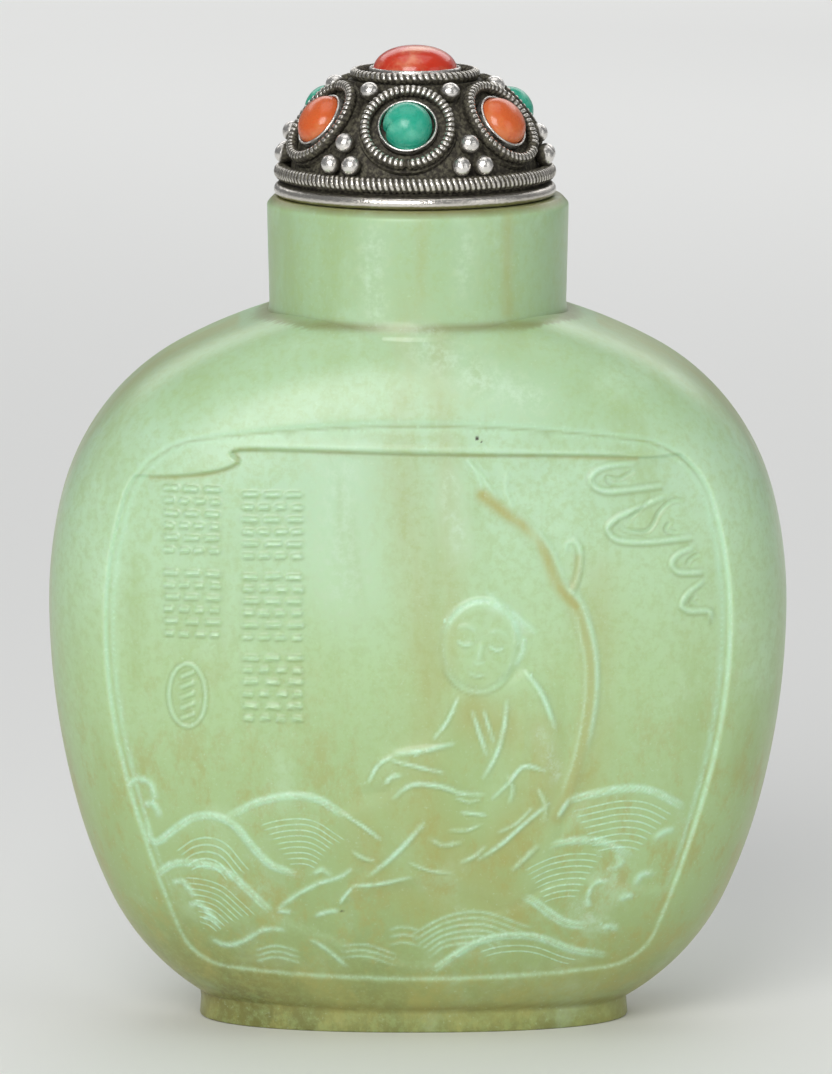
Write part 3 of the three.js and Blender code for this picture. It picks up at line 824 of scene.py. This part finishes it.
def ringed_object(name, rings, looped=False):
    """A mesh skinned over rings of points. A ring of one point is a tip, and loops end where they start."""
    starts = np.cumsum([0] + [len(ring) for ring in rings])
    numbers = [list(range(start, end)) for start, end in zip(starts, starts[1:])]
    if looped:
        numbers.append(numbers[0])
    faces = []
    for low, high in zip(numbers, numbers[1:]):
        count = max(len(low), len(high))
        for k in range(count):
            after = (k + 1) % count
            if len(low) == 1:
                faces.append([low[0], high[after], high[k]])
            elif len(high) == 1:
                faces.append([low[k], low[after], high[0]])
            else:
                faces.append([low[k], low[after], high[after], high[k]])
    return mesh_object(name, np.vstack(rings), faces)


def arc(centre, half, degrees):
    """Profile points round part of an oval. Its centre and half sizes are (radius, height)."""
    turns = [math.radians(degree) for degree in degrees]
    return [(centre[0] + half[0] * math.cos(a), centre[1] + half[1] * math.sin(a)) for a in turns]


def turned_object(name, profile, segments, rim=None):
    """A round piece from (radius, height) pairs, bottom first. A rim bends each ring to an outline."""
    turn = np.linspace(0, 2 * math.pi, segments, endpoint=False)
    bend = np.ones(segments) if rim is None else rim(turn)
    rings = []
    for radius, height in profile:
        if radius < 1e-9:
            rings.append([[0, 0, height]])
            continue
        reach = radius * bend
        rings.append(np.column_stack([reach * np.cos(turn), reach * np.sin(turn), np.full(segments, height)]))
    closed = len(rings[0]) == 1 and len(rings[-1]) == 1
    return ringed_object(name, rings, looped=not closed)


def disc(bottom, top, radius, segments, matrix=Matrix()):
    """A plain drum to cut or join with."""
    drum = turned_object("disc", [(0, bottom), (radius, bottom), (radius, top), (0, top)], segments)
    drum.data.transform(matrix)
    return drum


def slab(level):
    """A square block over a level, reaching out past every other piece."""
    return disc(level, level + SLAB_HEIGHT, SLAB_REACH, 4)


def combine(target, tool, operation):
    """Joins or cuts one closed mesh by another and drops the tool."""
    modifier = target.modifiers.new("combine", "BOOLEAN")
    modifier.solver = "MANIFOLD"
    modifier.operation = operation
    modifier.object = tool
    bpy.context.view_layer.update()
    evaluated = target.evaluated_get(bpy.context.evaluated_depsgraph_get())
    mesh = bpy.data.meshes.new_from_object(evaluated)
    mesh.materials.clear()
    mesh.polygons.foreach_set("material_index", [0] * len(mesh.polygons))
    target.modifiers.clear()
    target.data = mesh
    bpy.data.objects.remove(tool)


def set_field(piece, name, values):
    """Stores one number per point for the materials to read."""
    field = piece.data.attributes.new(name, "FLOAT", "POINT")
    field.data.foreach_set("value", np.asarray(values, np.float32))


def points_of(piece):
    flat = np.empty(len(piece.data.vertices) * 3, np.float32)
    piece.data.vertices.foreach_get("co", flat)
    return flat.reshape(-1, 3) / MM


def smooth_shade(piece, degrees):
    piece.data.polygons.foreach_set("use_smooth", [True] * len(piece.data.polygons))
    piece.data.set_sharp_from_angle(angle=math.radians(degrees))


# ---------------------------------------------------------------- bottle

def foot_shape(name, profile, segments, inset):
    """A piece turned to the foot's oval plan, drawn in by the inset."""
    def rim(turn):
        across = np.abs(np.cos(turn) / (FOOT_HALF_WIDTH - inset)) ** FOOT_PLAN_POWER
        deep = np.abs(np.sin(turn) / (FOOT_HALF_DEPTH - inset)) ** FOOT_PLAN_POWER
        return (across + deep) ** (-1 / FOOT_PLAN_POWER)
    piece = turned_object(name, profile, segments, rim)
    piece.data.transform(Matrix.Translation((FOOT_SHIFT * MM, 0, 0)))
    return piece


def foot_object():
    """The foot, waisted a little under the body and eased at its bottom edge."""
    profile = [(0, 0.0), (0.985, 0.0), (0.996, 0.05), (1.0, 0.16), (0.996, 0.8), (0.994, 1.3),
               (0.998, 1.7), (1.002, FOOT_TOP + 0.35), (0, FOOT_TOP + 0.35)]
    return foot_shape("foot", profile, 240, 0)


def recess_object():
    """What is taken out of the foot, leaving its rim."""
    profile = [(0, -3.0), (1.03, -3.0), (1.03, 0.0), (1.0, 0.25), (0.97, FOOT_RECESS - 0.15),
               (0.93, FOOT_RECESS), (0, FOOT_RECESS)]
    return foot_shape("recess", profile, 160, FOOT_RIM)


def neck_object():
    """The neck with a small fillet at the shoulder and a worn bevel round the lip."""
    fillet = [(NECK_WAIST + 0.5 * (1 - k / 8) ** 2, FILLET_LEVEL + 1.5 * k / 8) for k in range(9)]
    # How far in and how far down from the lip's edge the bevel passes.
    bevel = [(0, 0.62), (0.03, 0.5), (0.12, 0.38), (0.4, 0.08), (0.5, 0.01), (0.6, 0)]
    lip = [(NECK_RADIUS - inward, LIP_LEVEL - down) for inward, down in bevel]
    flank = [(10.56, 54), (10.63, 57)]
    profile = [(0, NECK_ROOT), (NECK_WAIST, NECK_ROOT), *fillet, *flank, *lip, (0, LIP_LEVEL)]
    return turned_object("neck", profile, 256)


def bore_object():
    """The mouth, straight down into the body and eased where it opens."""
    eased = MOUTH_RADIUS + 0.35
    profile = [(0, BORE_FLOOR), (MOUTH_RADIUS, BORE_FLOOR), (MOUTH_RADIUS, LIP_LEVEL - 0.4),
               (eased, LIP_LEVEL + 0.01), (eased, BORE_CEILING), (0, BORE_CEILING)]
    return turned_object("bore", profile, 96)


def hollow_object():
    """The inside of the body: the outline drawn in by the wall, with a flat floor over the foot."""
    inner = Oval(BODY, WALL)
    deepest = HALF_DEPTH - WALL
    turn = np.linspace(0, 2 * math.pi, 96, endpoint=False)
    across, up = np.cos(turn), np.sin(turn)
    reach = inner.reach(across, up)
    power = depth_power(across, up)
    rings = [[[0, deepest, inner.level]]]
    for latitude in np.radians(np.linspace(90, -90, 33))[1:-1]:
        share = math.cos(latitude) ** (2 / power)
        depth = abs(math.sin(latitude)) ** (2 / power) * np.sign(latitude) * deepest
        rings.append(np.column_stack([reach * share * across, depth, inner.level + reach * share * up]))
    rings.append([[0, -deepest, inner.level]])
    hollow = ringed_object("hollow", rings)
    combine(hollow, slab(FOOT_RECESS + WALL), "INTERSECT")
    return hollow


def border_lines(inside, z):
    """Paleness and shade of the panel's border: two pale lines of frosting and painted highlight, fainter low
    down and near the top, with painted shade in a crevice between them above.
    """
    outer = (0.38 + 0.24 * smooth_step(z, 6, 18)) * bell(inside, 0.17)
    inner = 0.5 * bell(inside - 0.55, 0.17) * smooth_step(z, 8, 16)
    crevice = 0.5 * bell(inside - 0.28, 0.1) * smooth_step(z, 38, 43)
    return np.maximum(outer, inner) * (1 - 0.45 * smooth_step(z, 34, 43)), crevice


def bottle_fields(bottle):
    """Frosting, painted highlight and painted shade in the carving, stains in the stone, painted shade
    towards the body's outline, and dirt where hands don't reach.
    """
    place = points_of(bottle)
    x, y, z = place.T
    inside = panel_oval.inside(x, z)
    names = ("frost_and_highlight", "shade", "stain", "flaw", "mist_and_highlight", "ripple", "ripple_strength")
    fields = {name: np.zeros(len(place)) for name in names}
    for side, relief_of in ((-1, front_relief), (1, back_relief)):
        chosen = np.nonzero(y * side > 0)[0]
        relief = relief_of(x[chosen] * -side, z[chosen])
        within = smooth_step(inside[chosen], -0.3, 0.1)
        pale, crevice = border_lines(inside[chosen], z[chosen])
        carved = z[chosen] > CARVED_FROM
        fields["frost_and_highlight"][chosen] = np.maximum(relief.frost_and_highlight * within, pale) * carved
        fields["shade"][chosen] = np.maximum(relief.shade * within, crevice) * carved
        for name in names[2:]:
            fields[name][chosen] = getattr(relief, name)
    # Painted shade: the body darkens towards its outline at the sides, added to the russet and olive stains.
    edge = smooth_step(np.abs(y), 8, 1) * (z < FILLET_LEVEL)
    fields["stain"] = np.maximum(fields["stain"], 0.45 * edge)
    radius = np.hypot(x, y)
    joint = bell(z - JOINT_LEVEL, 0.3) * smooth_step(radius, 9.5, 10.3) * (radius < 11.8)
    lip = smooth_step(z, LIP_LEVEL - 0.6, LIP_LEVEL - 0.1)
    crease = bell(z - FOOT_TOP + 0.15, 0.3) * (radius > 5)
    fields["dirt"] = np.clip(np.maximum(np.maximum(0.75 * joint, lip), 0.6 * crease), 0, 1)
    for name, values in fields.items():
        set_field(bottle, name, values)


def bottle_piece():
    """The body joined to its neck and foot, then hollowed through the mouth."""
    bottle = body_object()
    combine(bottle, slab(FOOT_RECESS), "INTERSECT")
    combine(bottle, neck_object(), "UNION")
    combine(bottle, foot_object(), "UNION")
    combine(bottle, recess_object(), "DIFFERENCE")
    combine(bottle, hollow_object(), "DIFFERENCE")
    combine(bottle, bore_object(), "DIFFERENCE")
    smooth_shade(bottle, 50)
    bottle_fields(bottle)
    bottle.name = "jade_bottle"
    bottle.data.materials.append(jade_material())
    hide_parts("bottle")
    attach(bottle, "root")


# ---------------------------------------------------------------- materials

# The stone's colour at each level in millimetres, from the foot up to the lip: its own tone, with painted
# shade making it darker towards the foot.
JADE_LEVELS = [(0, (118, 119, 64)), (3, (140, 150, 91)), (8, (162, 183, 124)), (15, (172, 198, 141)),
               (25, (181, 210, 159)), (36, (188, 219, 180)), (42, (186, 217, 182)), (46, (178, 209, 168)),
               (52, (173, 203, 158)), (58.9, (172, 202, 160))]


def linear(*srgb):
    """An 8-bit sRGB colour as linear values."""
    values = [(c / 255 / 12.92) if c <= 10 else ((c / 255 + 0.055) / 1.055) ** 2.4 for c in srgb]
    return (*values, 1.0)


class Paint:
    """A new material, with short ways to add nodes to it."""

    def __init__(self, name):
        self.material = bpy.data.materials.new(name)
        self.material.use_nodes = True
        self.nodes = self.material.node_tree.nodes
        self.links = self.material.node_tree.links

    def put(self, value, socket):
        """Gives a socket a plain value, or links another node's output to it."""
        if isinstance(value, bpy.types.NodeSocket):
            self.links.new(value, socket)
        else:
            socket.default_value = value

    def add(self, kind, sockets):
        node = self.nodes.new(kind)
        for name, value in sockets.items():
            self.put(value, node.inputs[name])
        return node

    def finish(self, sockets):
        """Sets the shader's own sockets and hands over the material."""
        for name, value in sockets.items():
            self.put(value, self.nodes["Principled BSDF"].inputs[name])
        return self.material

    def place(self):
        return self.add("ShaderNodeTexCoord", {}).outputs["Object"]

    def level(self, place):
        return self.add("ShaderNodeSeparateXYZ", {"Vector": place}).outputs["Z"]

    def field(self, name):
        """A number that the mesh keeps for each of its points."""
        node = self.add("ShaderNodeAttribute", {})
        node.attribute_name = name
        return node.outputs["Fac"]

    def stretched(self, place, scale):
        return self.add("ShaderNodeMapping", {"Vector": place, "Scale": scale}).outputs["Vector"]

    def noise(self, place, scale, detail, rough=0.5):
        sockets = {"Vector": place, "Scale": scale, "Detail": detail, "Roughness": rough}
        return self.add("ShaderNodeTexNoise", sockets).outputs["Fac"]

    def ranged(self, value, low, high, to_low=0.0, to_high=1.0, shape="SMOOTHSTEP"):
        node = self.add("ShaderNodeMapRange", {})
        node.interpolation_type = shape
        names = ("Value", "From Min", "From Max", "To Min", "To Max")
        for name, setting in zip(names, (value, low, high, to_low, to_high)):
            self.put(setting, node.inputs[name])
        return node.outputs["Result"]

    def maths(self, operation, first, second, clamp=True):
        node = self.add("ShaderNodeMath", {0: first, 1: second})
        node.operation = operation
        node.use_clamp = clamp
        return node.outputs["Value"]

    def times(self, first, second):
        return self.maths("MULTIPLY", first, second)

    def plus(self, first, second):
        return self.maths("ADD", first, second)

    def blend(self, amount, first, second):
        node = self.nodes.new("ShaderNodeMix")
        node.data_type = "RGBA"
        first_colour, second_colour, mixed = node.inputs[6], node.inputs[7], node.outputs[2]
        self.put(amount, node.inputs["Factor"])
        self.put(first, first_colour)
        self.put(second, second_colour)
        return mixed

    def bump(self, height, strength, distance):
        sockets = {"Height": height, "Strength": strength, "Distance": distance}
        return self.add("ShaderNodeBump", sockets).outputs["Normal"]

    def levels(self, height, tones, top):
        """A colour for each level, with the height given as a share of the top one."""
        ramp = self.add("ShaderNodeValToRGB", {"Fac": height})
        elements = ramp.color_ramp.elements
        while len(elements) < len(tones):
            elements.new(0.5)
        for element, (level, tone) in zip(elements, tones):
            element.position = level / top
            element.color = linear(*tone)
        return ramp.outputs["Color"]


def ripple_lines(paint):
    """Thin lines, one for each whole number that the ripple field passes through."""
    turn = paint.maths("MULTIPLY", paint.field("ripple"), 2 * math.pi, clamp=False)
    swing = paint.maths("COSINE", turn, 0.0, clamp=False)
    return paint.times(paint.ranged(swing, 0.35, 0.95), paint.field("ripple_strength"))


def jade_material():
    """Polished pale green jade, minty above and olive towards the foot partly as painted shade, cloudy and
    lightly veined, with painted highlights and painted shade in the carving.
    """
    paint = Paint("jade")
    place = paint.place()
    level = paint.level(place)
    veins = paint.noise(paint.stretched(place, (1.0, 1.0, 0.22)), 210, 5, 0.6)
    russet = paint.noise(paint.stretched(place, (1.0, 1.0, 0.6)), 420, 5, 0.75)
    cloudy = paint.noise(place, 130, 6, 0.62)
    fine = paint.noise(place, 1500, 6, 0.7)
    speckle = paint.noise(place, 4200, 3)

    low = paint.ranged(level, 0.012, 0.034, 0.75, 0.0)
    ripples = ripple_lines(paint)
    frost_and_highlight = paint.plus(paint.field("frost_and_highlight"), paint.times(ripples, 0.6))
    layers = [
        (paint.ranged(veins, 0.48, 0.72, 0.0, 0.42), (160, 180, 112)),
        (paint.ranged(cloudy, 0.52, 0.74, 0.0, 0.42), (202, 232, 200)),
        (paint.ranged(fine, 0.42, 0.66, 0.0, 0.42), (168, 192, 130)),
        (paint.times(low, paint.ranged(russet, 0.46, 0.68)), (172, 172, 104)),
        (paint.times(paint.field("stain"), paint.ranged(veins, 0.22, 0.55)), (174, 168, 94)),
        (paint.times(paint.field("dirt"), paint.ranged(cloudy, 0.3, 0.6, 0.4, 0.85)), (122, 112, 50)),
        (paint.ranged(speckle, 0.6, 0.8, 0.0, 0.25), (206, 232, 204)),
        # Pale haze: milky patches in the stone together with painted soft highlights.
        (paint.times(paint.field("mist_and_highlight"), paint.ranged(fine, 0.4, 0.66, 0.1, 0.8)), (214, 240, 221)),
        # Painted shade beside raised edges, then the pale lines of frosting and painted highlight, then
        # painted sparkle on them.
        (paint.times(paint.field("shade"), 0.8), (138, 156, 92)),
        (paint.times(frost_and_highlight, paint.ranged(fine, 0.32, 0.6, 0.45, 1.0)), (196, 238, 208)),
        (paint.times(frost_and_highlight, paint.ranged(speckle, 0.5, 0.68, 0.0, 0.4)), (226, 247, 228)),
        (paint.field("flaw"), (62, 58, 40)),
    ]
    drift = paint.ranged(paint.noise(place, 55, 3), 0.3, 0.7, 0.0, 0.08)
    rise = paint.ranged(level, 0.0, LIP_LEVEL * MM, -0.04, 0.96, "LINEAR")
    colour = paint.levels(paint.plus(rise, drift), JADE_LEVELS, LIP_LEVEL)
    for amount, tone in layers:
        colour = paint.blend(amount, colour, linear(*tone))
    polish = paint.ranged(cloudy, 0.3, 0.8, 0.28, 0.4)
    surface = paint.plus(paint.times(fine, 0.55), ripples)
    return paint.finish({
        "Base Color": colour,
        "Roughness": paint.plus(polish, paint.times(paint.field("frost_and_highlight"), 0.15)),
        "Normal": paint.bump(surface, 0.3, 0.0001),
        "IOR": 1.5,
        "Subsurface Weight": 0.35,
        "Subsurface Radius": (0.8, 1.0, 0.5),
        "Subsurface Scale": 0.0012,
    })


def silver_material(name, dark, bright, wear_low, wear_high):
    """Silver with dark patina and dusty grime in its recesses, bright where rubbing and painted highlight are
    high.
    """
    paint = Paint(name)
    place = paint.place()
    mottle = paint.noise(place, 1400, 5, 0.65)
    grime = paint.noise(place, 3600, 4, 0.7)
    # Brightness from rubbing and painted highlight, mottled.
    worn = paint.plus(paint.field("wear_and_highlight"), paint.ranged(mottle, 0.3, 0.7, -0.16, 0.16))
    bright_share = paint.ranged(worn, wear_low, wear_high)
    grimy = paint.blend(paint.ranged(grime, 0.42, 0.66), linear(*dark), linear(112, 108, 90))
    relief = paint.plus(mottle, paint.times(grime, 0.4))
    return paint.finish({
        "Base Color": paint.blend(bright_share, grimy, linear(*bright)),
        "Roughness": paint.ranged(bright_share, 0.0, 1.0, 0.7, 0.22),
        "Metallic": paint.ranged(bright_share, 0.0, 0.6, 0.3, 1.0),
        "Normal": paint.bump(relief, 0.55, 0.00012),
    })


def stone_material(name, base, pale, deep, cloud_scale, sheen):
    """A polished opaque stone, clouded with a paler and a deeper tone."""
    paint = Paint(name)
    place = paint.place()
    cloud = paint.noise(place, cloud_scale, 4, 0.55)
    grain = paint.noise(place, cloud_scale * 5, 4, 0.6)
    colour = paint.blend(paint.ranged(cloud, 0.45, 0.68), linear(*base), linear(*pale))
    return paint.finish({
        "Base Color": paint.blend(paint.ranged(grain, 0.58, 0.74, 0.0, 0.6), colour, linear(*deep)),
        "Roughness": paint.ranged(grain, 0.3, 0.7, sheen, sheen + 0.12),
        "Normal": paint.bump(grain, 0.08, 0.0001),
        "Subsurface Weight": 0.15,
        "Subsurface Radius": (1.0, 0.5, 0.3),
        "Subsurface Scale": 0.0006,
        "Coat Weight": 0.2,
        "Coat Roughness": 0.06,
    })


def stopper_materials():
    turquoise = ((40, 168, 138), (92, 188, 160), (26, 138, 112))
    coral = ((214, 98, 44), (222, 126, 72), (196, 76, 34))
    red_coral = ((206, 54, 28), (226, 142, 106), (166, 22, 14))
    return {
        "aged_silver": silver_material("aged_silver", (58, 53, 45), (226, 221, 212), 0.45, 0.95),
        "bright_silver": silver_material("bright_silver", (70, 65, 56), (240, 236, 230), 0.3, 0.8),
        "turquoise": stone_material("turquoise", *turquoise, 700, 0.24),
        "coral": stone_material("coral", *coral, 420, 0.2),
        "red_coral": stone_material("red_coral", *red_coral, 420, 0.14),
    }


# ---------------------------------------------------------------- stopper

def finish_piece(piece, node, slot, materials, matrix):
    """Moves a piece to its place and stands it in for its CAD node."""
    piece.data.transform(matrix)
    piece.data.materials.append(materials[slot])
    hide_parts(node)
    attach(piece, "root")


def axis_matrix(level):
    """A place on the stopper's own axis."""
    return Matrix.Translation((STOPPER_AXIS[0] * MM, STOPPER_AXIS[1] * MM, level * MM))


def seat_matrix(number):
    """The frame of a side collet, worked out from where its wire ring stands."""
    centre = middle_mm(f"side_wire_{number}")
    out = centre[:2] - STOPPER_AXIS
    out = out / np.hypot(*out)
    normal = Vector((*(out * math.cos(COLLET_TILT)), math.sin(COLLET_TILT)))
    turn = normal.to_track_quat("Z", "Y").to_matrix().to_4x4()
    seat = Vector(centre) - normal * (WIRE_THICKNESS / 2)
    return Matrix.Translation(seat * MM) @ turn


def ribbed_ring(name, radius, thickness, ribs, slant, facing, joint):
    """A ring of tightly twisted wire, its rib crests worn bright and given painted highlight on the side it
    faces, its ends meeting at a joint.
    """
    around = ribs * 8
    across = 14
    ring_turn = np.linspace(0, 2 * math.pi, around, endpoint=False)
    tube_turn = np.linspace(0, 2 * math.pi, across, endpoint=False)[:, None]
    phase = (ring_turn * ribs / (2 * math.pi) + slant * np.sin(tube_turn)) % 1 * 2 - 1
    rib = np.sqrt(1 - 0.96 * phase ** 2)
    from_joint = (ring_turn - joint + math.pi) % (2 * math.pi) - math.pi
    parting = bell(from_joint * radius, 0.16)
    half = thickness / 2 * (0.64 + 0.36 * rib) * (1 - 0.5 * parting)
    reach = radius + half * np.cos(tube_turn)
    lift = half * np.sin(tube_turn)
    points = np.stack([reach * np.cos(ring_turn), reach * np.sin(ring_turn), lift], -1)
    ring = ringed_object(name, list(points), looped=True)
    # Painted highlight: only the side facing the given direction is made bright.
    exposed_and_lit = smooth_step(np.cos(tube_turn - facing), 0.25, 0.85)
    set_field(ring, "wear_and_highlight", (smooth_step(rib, 0.55, 0.95) * exposed_and_lit * (1 - parting)).ravel())
    return ring


def cap_piece(materials):
    """The dome, its rolled rim and the flats under the collets."""
    rounding = (RIM_ROUNDING, RIM_ROUNDING)
    rolled_rim = arc((RIM_RADIUS, CAP_BOTTOM + RIM_ROUNDING), rounding, range(-75, 91, 15))
    dome = arc((0, DOME_LEVEL), (DOME_RADIUS, DOME_HEIGHT), range(0, 90, 3))
    profile = [(0, CAP_BOTTOM), (RIM_RADIUS, CAP_BOTTOM), *rolled_rim, (9.2, CAP_BOTTOM + 0.92),
               (BAND_RADIUS, CAP_BOTTOM + 0.98), (BAND_RADIUS, BAND_TOP), (DOME_RADIUS, BAND_TOP),
               *dome, (0, DOME_LEVEL + DOME_HEIGHT)]
    cap = turned_object("stopper_dome", profile, 180)
    cap.data.transform(axis_matrix(0))
    for number in COLLETS:
        seat = seat_matrix(number)
        combine(cap, disc(0, 3, SEAT_RADIUS, 72, seat), "DIFFERENCE")
        combine(cap, disc(-2, 0, SEAT_RADIUS, 72, seat), "UNION")
    combine(cap, slab(TOP_SEAT), "DIFFERENCE")
    combine(cap, disc(TOP_SEAT - 2, TOP_SEAT, TOP_SEAT_RADIUS, 120, axis_matrix(0)), "UNION")
    smooth_shade(cap, 40)
    place = points_of(cap)
    radius = np.hypot(*(place[:, :2] - STOPPER_AXIS).T)
    rolled = smooth_step(radius, 9.55, 9.85) * (place[:, 2] < CAP_BOTTOM + 0.95)
    set_field(cap, "wear_and_highlight", 0.12 + 0.88 * rolled)
    finish_piece(cap, "stopper_cap", "aged_silver", materials, Matrix())


def bezel_object(name, radius, height, wobble):
    """A thin upright band round a stone, rounded on top and a little uneven."""
    wall = BEZEL_WALL
    inner = radius - wall
    profile = [(inner, 0), (radius, 0), (radius, height * 0.85), (radius - wall * 0.2, height * 0.97),
               (radius - wall * 0.5, height), (inner + wall * 0.2, height * 0.97), (inner, height * 0.85)]

    def edge(turn):
        return 1 + wobble * np.sin(3 * turn + radius) * np.cos(turn)
    bezel = turned_object(name, profile, 72, edge)
    place = points_of(bezel)
    set_field(bezel, "wear_and_highlight", 0.2 + 0.5 * smooth_step(place[:, 2], height * 0.5, height * 0.95))
    return bezel


def cabochon_object(name, radius, bezel_height, height, uneven, seed, chip=0.0):
    """A domed stone with a straight girdle, a little out of true, and maybe chipped at one side."""
    girdle = bezel_height * 0.7
    profile = [(0, 0.02), (radius * 0.97, 0.02), (radius, 0.1), (radius, girdle)]
    for step in range(24):
        latitude = math.pi / 2 * step / 24
        rise = (height - girdle) * math.sin(latitude)
        profile.append((radius * math.cos(latitude) ** 0.9, girdle + rise))
    profile.append((0, height))
    phases = np.random.default_rng(seed).uniform(0, 2 * math.pi, 3)

    def edge(turn):
        bend = sum(np.sin((k + 2) * turn + phase) / (k + 1.5) for k, phase in enumerate(phases))
        return 1 + uneven * bend - chip * bell(turn - CHIP_TURN, CHIP_SPREAD)
    return turned_object(name, profile, 72, edge)


def granule_object(name, seed):
    """A silver granule, slightly flattened and brighter on the side that faces out."""
    radius = GRANULE_RADIUS
    half = (radius, radius * 0.96)
    profile = [(0, -radius), *arc((0, 0), half, range(-80, 81, 10)), (0, radius * 0.94)]
    phase = np.random.default_rng(seed).uniform(0, 2 * math.pi)
    granule = turned_object(name, profile, 32, lambda turn: 1 + 0.03 * np.sin(2 * turn + phase))
    place = points_of(granule)
    set_field(granule, "wear_and_highlight", smooth_step(place[:, 2], -0.15 * radius, 0.65 * radius))
    return granule


def base_ring(materials):
    ring = ribbed_ring("base_twist", BASE_WIRE_RADIUS, BASE_WIRE_THICKNESS, 150, 0.35, math.radians(15), 2.0)
    place = Matrix.Translation(Vector(middle_mm("base_wire")) * MM)
    finish_piece(ring, "base_wire", "aged_silver", materials, place)


def top_collet(materials):
    """The wire ring, bezel and coral on top of the dome."""
    ring = ribbed_ring("top_twist", TOP_WIRE_RADIUS, WIRE_THICKNESS, 62, 0.3, math.radians(50), 1.0)
    place = Matrix.Translation(Vector(middle_mm("top_wire")) * MM)
    finish_piece(ring, "top_wire", "aged_silver", materials, place)
    seat = axis_matrix(TOP_SEAT)
    bezel = bezel_object("top_collar", TOP_BEZEL["radius"], TOP_BEZEL["height"], 0.006)
    finish_piece(bezel, "top_bezel", "bright_silver", materials, seat)
    stone = cabochon_object("top_cabochon", 2.98, TOP_BEZEL["height"], 2.4, 0.006, 3)
    finish_piece(stone, "top_coral", "red_coral", materials, seat)


def side_collet(number, materials):
    """One of the six collets round the dome: turquoise from the front one on, every other one coral."""
    seat = seat_matrix(number)
    joint = -math.pi / 2 + 0.7 * (number - 1)
    ring = ribbed_ring(f"side_twist_{number}", SIDE_WIRE_RADIUS, WIRE_THICKNESS, 48, 0.25, math.pi / 2, joint)
    on_seat = seat @ Matrix.Translation((0, 0, WIRE_THICKNESS / 2 * MM))
    finish_piece(ring, f"side_wire_{number}", "aged_silver", materials, on_seat)
    bezel = bezel_object(f"side_collar_{number}", SIDE_BEZEL["radius"], SIDE_BEZEL["height"], 0.012)
    finish_piece(bezel, f"side_bezel_{number}", "bright_silver", materials, seat)
    slot = "coral" if number % 2 == 0 else "turquoise"
    radius, height = SIDE_STONES[slot]
    chip = CHIP_DEPTH if number == 1 else 0.0
    name = f"side_cabochon_{number}"
    stone = cabochon_object(name, radius, SIDE_BEZEL["height"], height, 0.02, number, chip)
    finish_piece(stone, f"side_stone_{number}", slot, materials, seat)


def granule_group(number, materials):
    """The four granules in one of the gaps between the side collets."""
    for spot in range(1, 5):
        node = f"granule_{number}_{spot}"
        centre = Vector(middle_mm(node))
        out = Vector((*(centre.xy - Vector(STOPPER_AXIS)), (centre.z - DOME_LEVEL) * 1.3))
        turn = out.to_track_quat("Z", "Y").to_matrix().to_4x4()
        granule = granule_object(f"bead_{number}_{spot}", 10 * number + spot)
        finish_piece(granule, node, "bright_silver", materials, Matrix.Translation(centre * MM) @ turn)


def stopper_pieces():
    materials = stopper_materials()
    cap_piece(materials)
    base_ring(materials)
    top_collet(materials)
    for number in COLLETS:
        side_collet(number, materials)
        granule_group(number, materials)


# ---------------------------------------------------------------- floor, light and camera

CAMERA_DISTANCE = 630
CAMERA_HEIGHT = 132
AIM_LEVEL = 34.4
AIM_SHIFT = -0.13
# The picture's longer side takes in this many millimetres at the aim.
VIEW_LENGTH = 76.2784
SENSOR = 36
# The floor's edges: left, right, in front and behind.
FLOOR = (-900, 900, -900, 1500)


def stage():
    left, right, front, back = FLOOR
    floor = mesh_object("floor", [(left, front, 0), (right, front, 0), (right, back, 0), (left, back, 0)],
                        [[0, 1, 2, 3]])
    paint = Paint("floor")
    floor.data.materials.append(paint.finish({"Base Color": linear(236, 236, 234), "Roughness": 0.7}))


def area_light(name, place, aim, size, power):
    data = bpy.data.lights.new(name, "AREA")
    data.shape = "RECTANGLE"
    data.size, data.size_y = size
    data.energy = power
    lamp = bpy.data.objects.new(name, data)
    lamp.location = place
    lamp.rotation_euler = (Vector(aim) - Vector(place)).to_track_quat("-Z", "Y").to_euler()
    bpy.context.scene.collection.objects.link(lamp)


def lights():
    """A broad softbox from the front left, gentler ones around it, and one for the ground behind."""
    world = bpy.data.worlds.new("studio")
    world.use_nodes = True
    background = world.node_tree.nodes["Background"]
    background.inputs["Color"].default_value = (0.86, 0.88, 0.9, 1)
    background.inputs["Strength"].default_value = 0.25
    bpy.context.scene.world = world
    bpy.context.scene.view_settings.view_transform = "Standard"
    aim = (0, 0, 0.035)
    area_light("key", (-0.15, -0.54, 0.34), aim, (0.36, 0.36), 2.7)
    area_light("fill", (0.5, -0.3, 0.2), aim, (0.3, 0.4), 0.35)
    area_light("top", (0.0, 0.0, 0.5), aim, (0.4, 0.35), 0.45)
    area_light("rim", (0.2, 0.5, 0.3), aim, (0.6, 0.4), 0.25)
    area_light("ground", (0.0, 1.0, 0.6), (0.0, 1.0, 0.0), (1.5, 0.9), 6)


def camera():
    data = bpy.data.cameras.new("camera")
    reach = math.hypot(CAMERA_DISTANCE, CAMERA_HEIGHT - AIM_LEVEL)
    data.sensor_width = SENSOR
    data.lens = SENSOR * reach / VIEW_LENGTH
    data.clip_start = 0.05
    data.clip_end = 10
    lens = bpy.data.objects.new("camera", data)
    lens.location = (AIM_SHIFT * MM, -CAMERA_DISTANCE * MM, CAMERA_HEIGHT * MM)
    aim = Vector((AIM_SHIFT * MM, 0, AIM_LEVEL * MM))
    lens.rotation_euler = (aim - lens.location).to_track_quat("-Z", "Y").to_euler()
    bpy.context.scene.collection.objects.link(lens)
    bpy.context.scene.camera = lens


camera()
stage()
lights()
bottle_piece()
stopper_pieces()
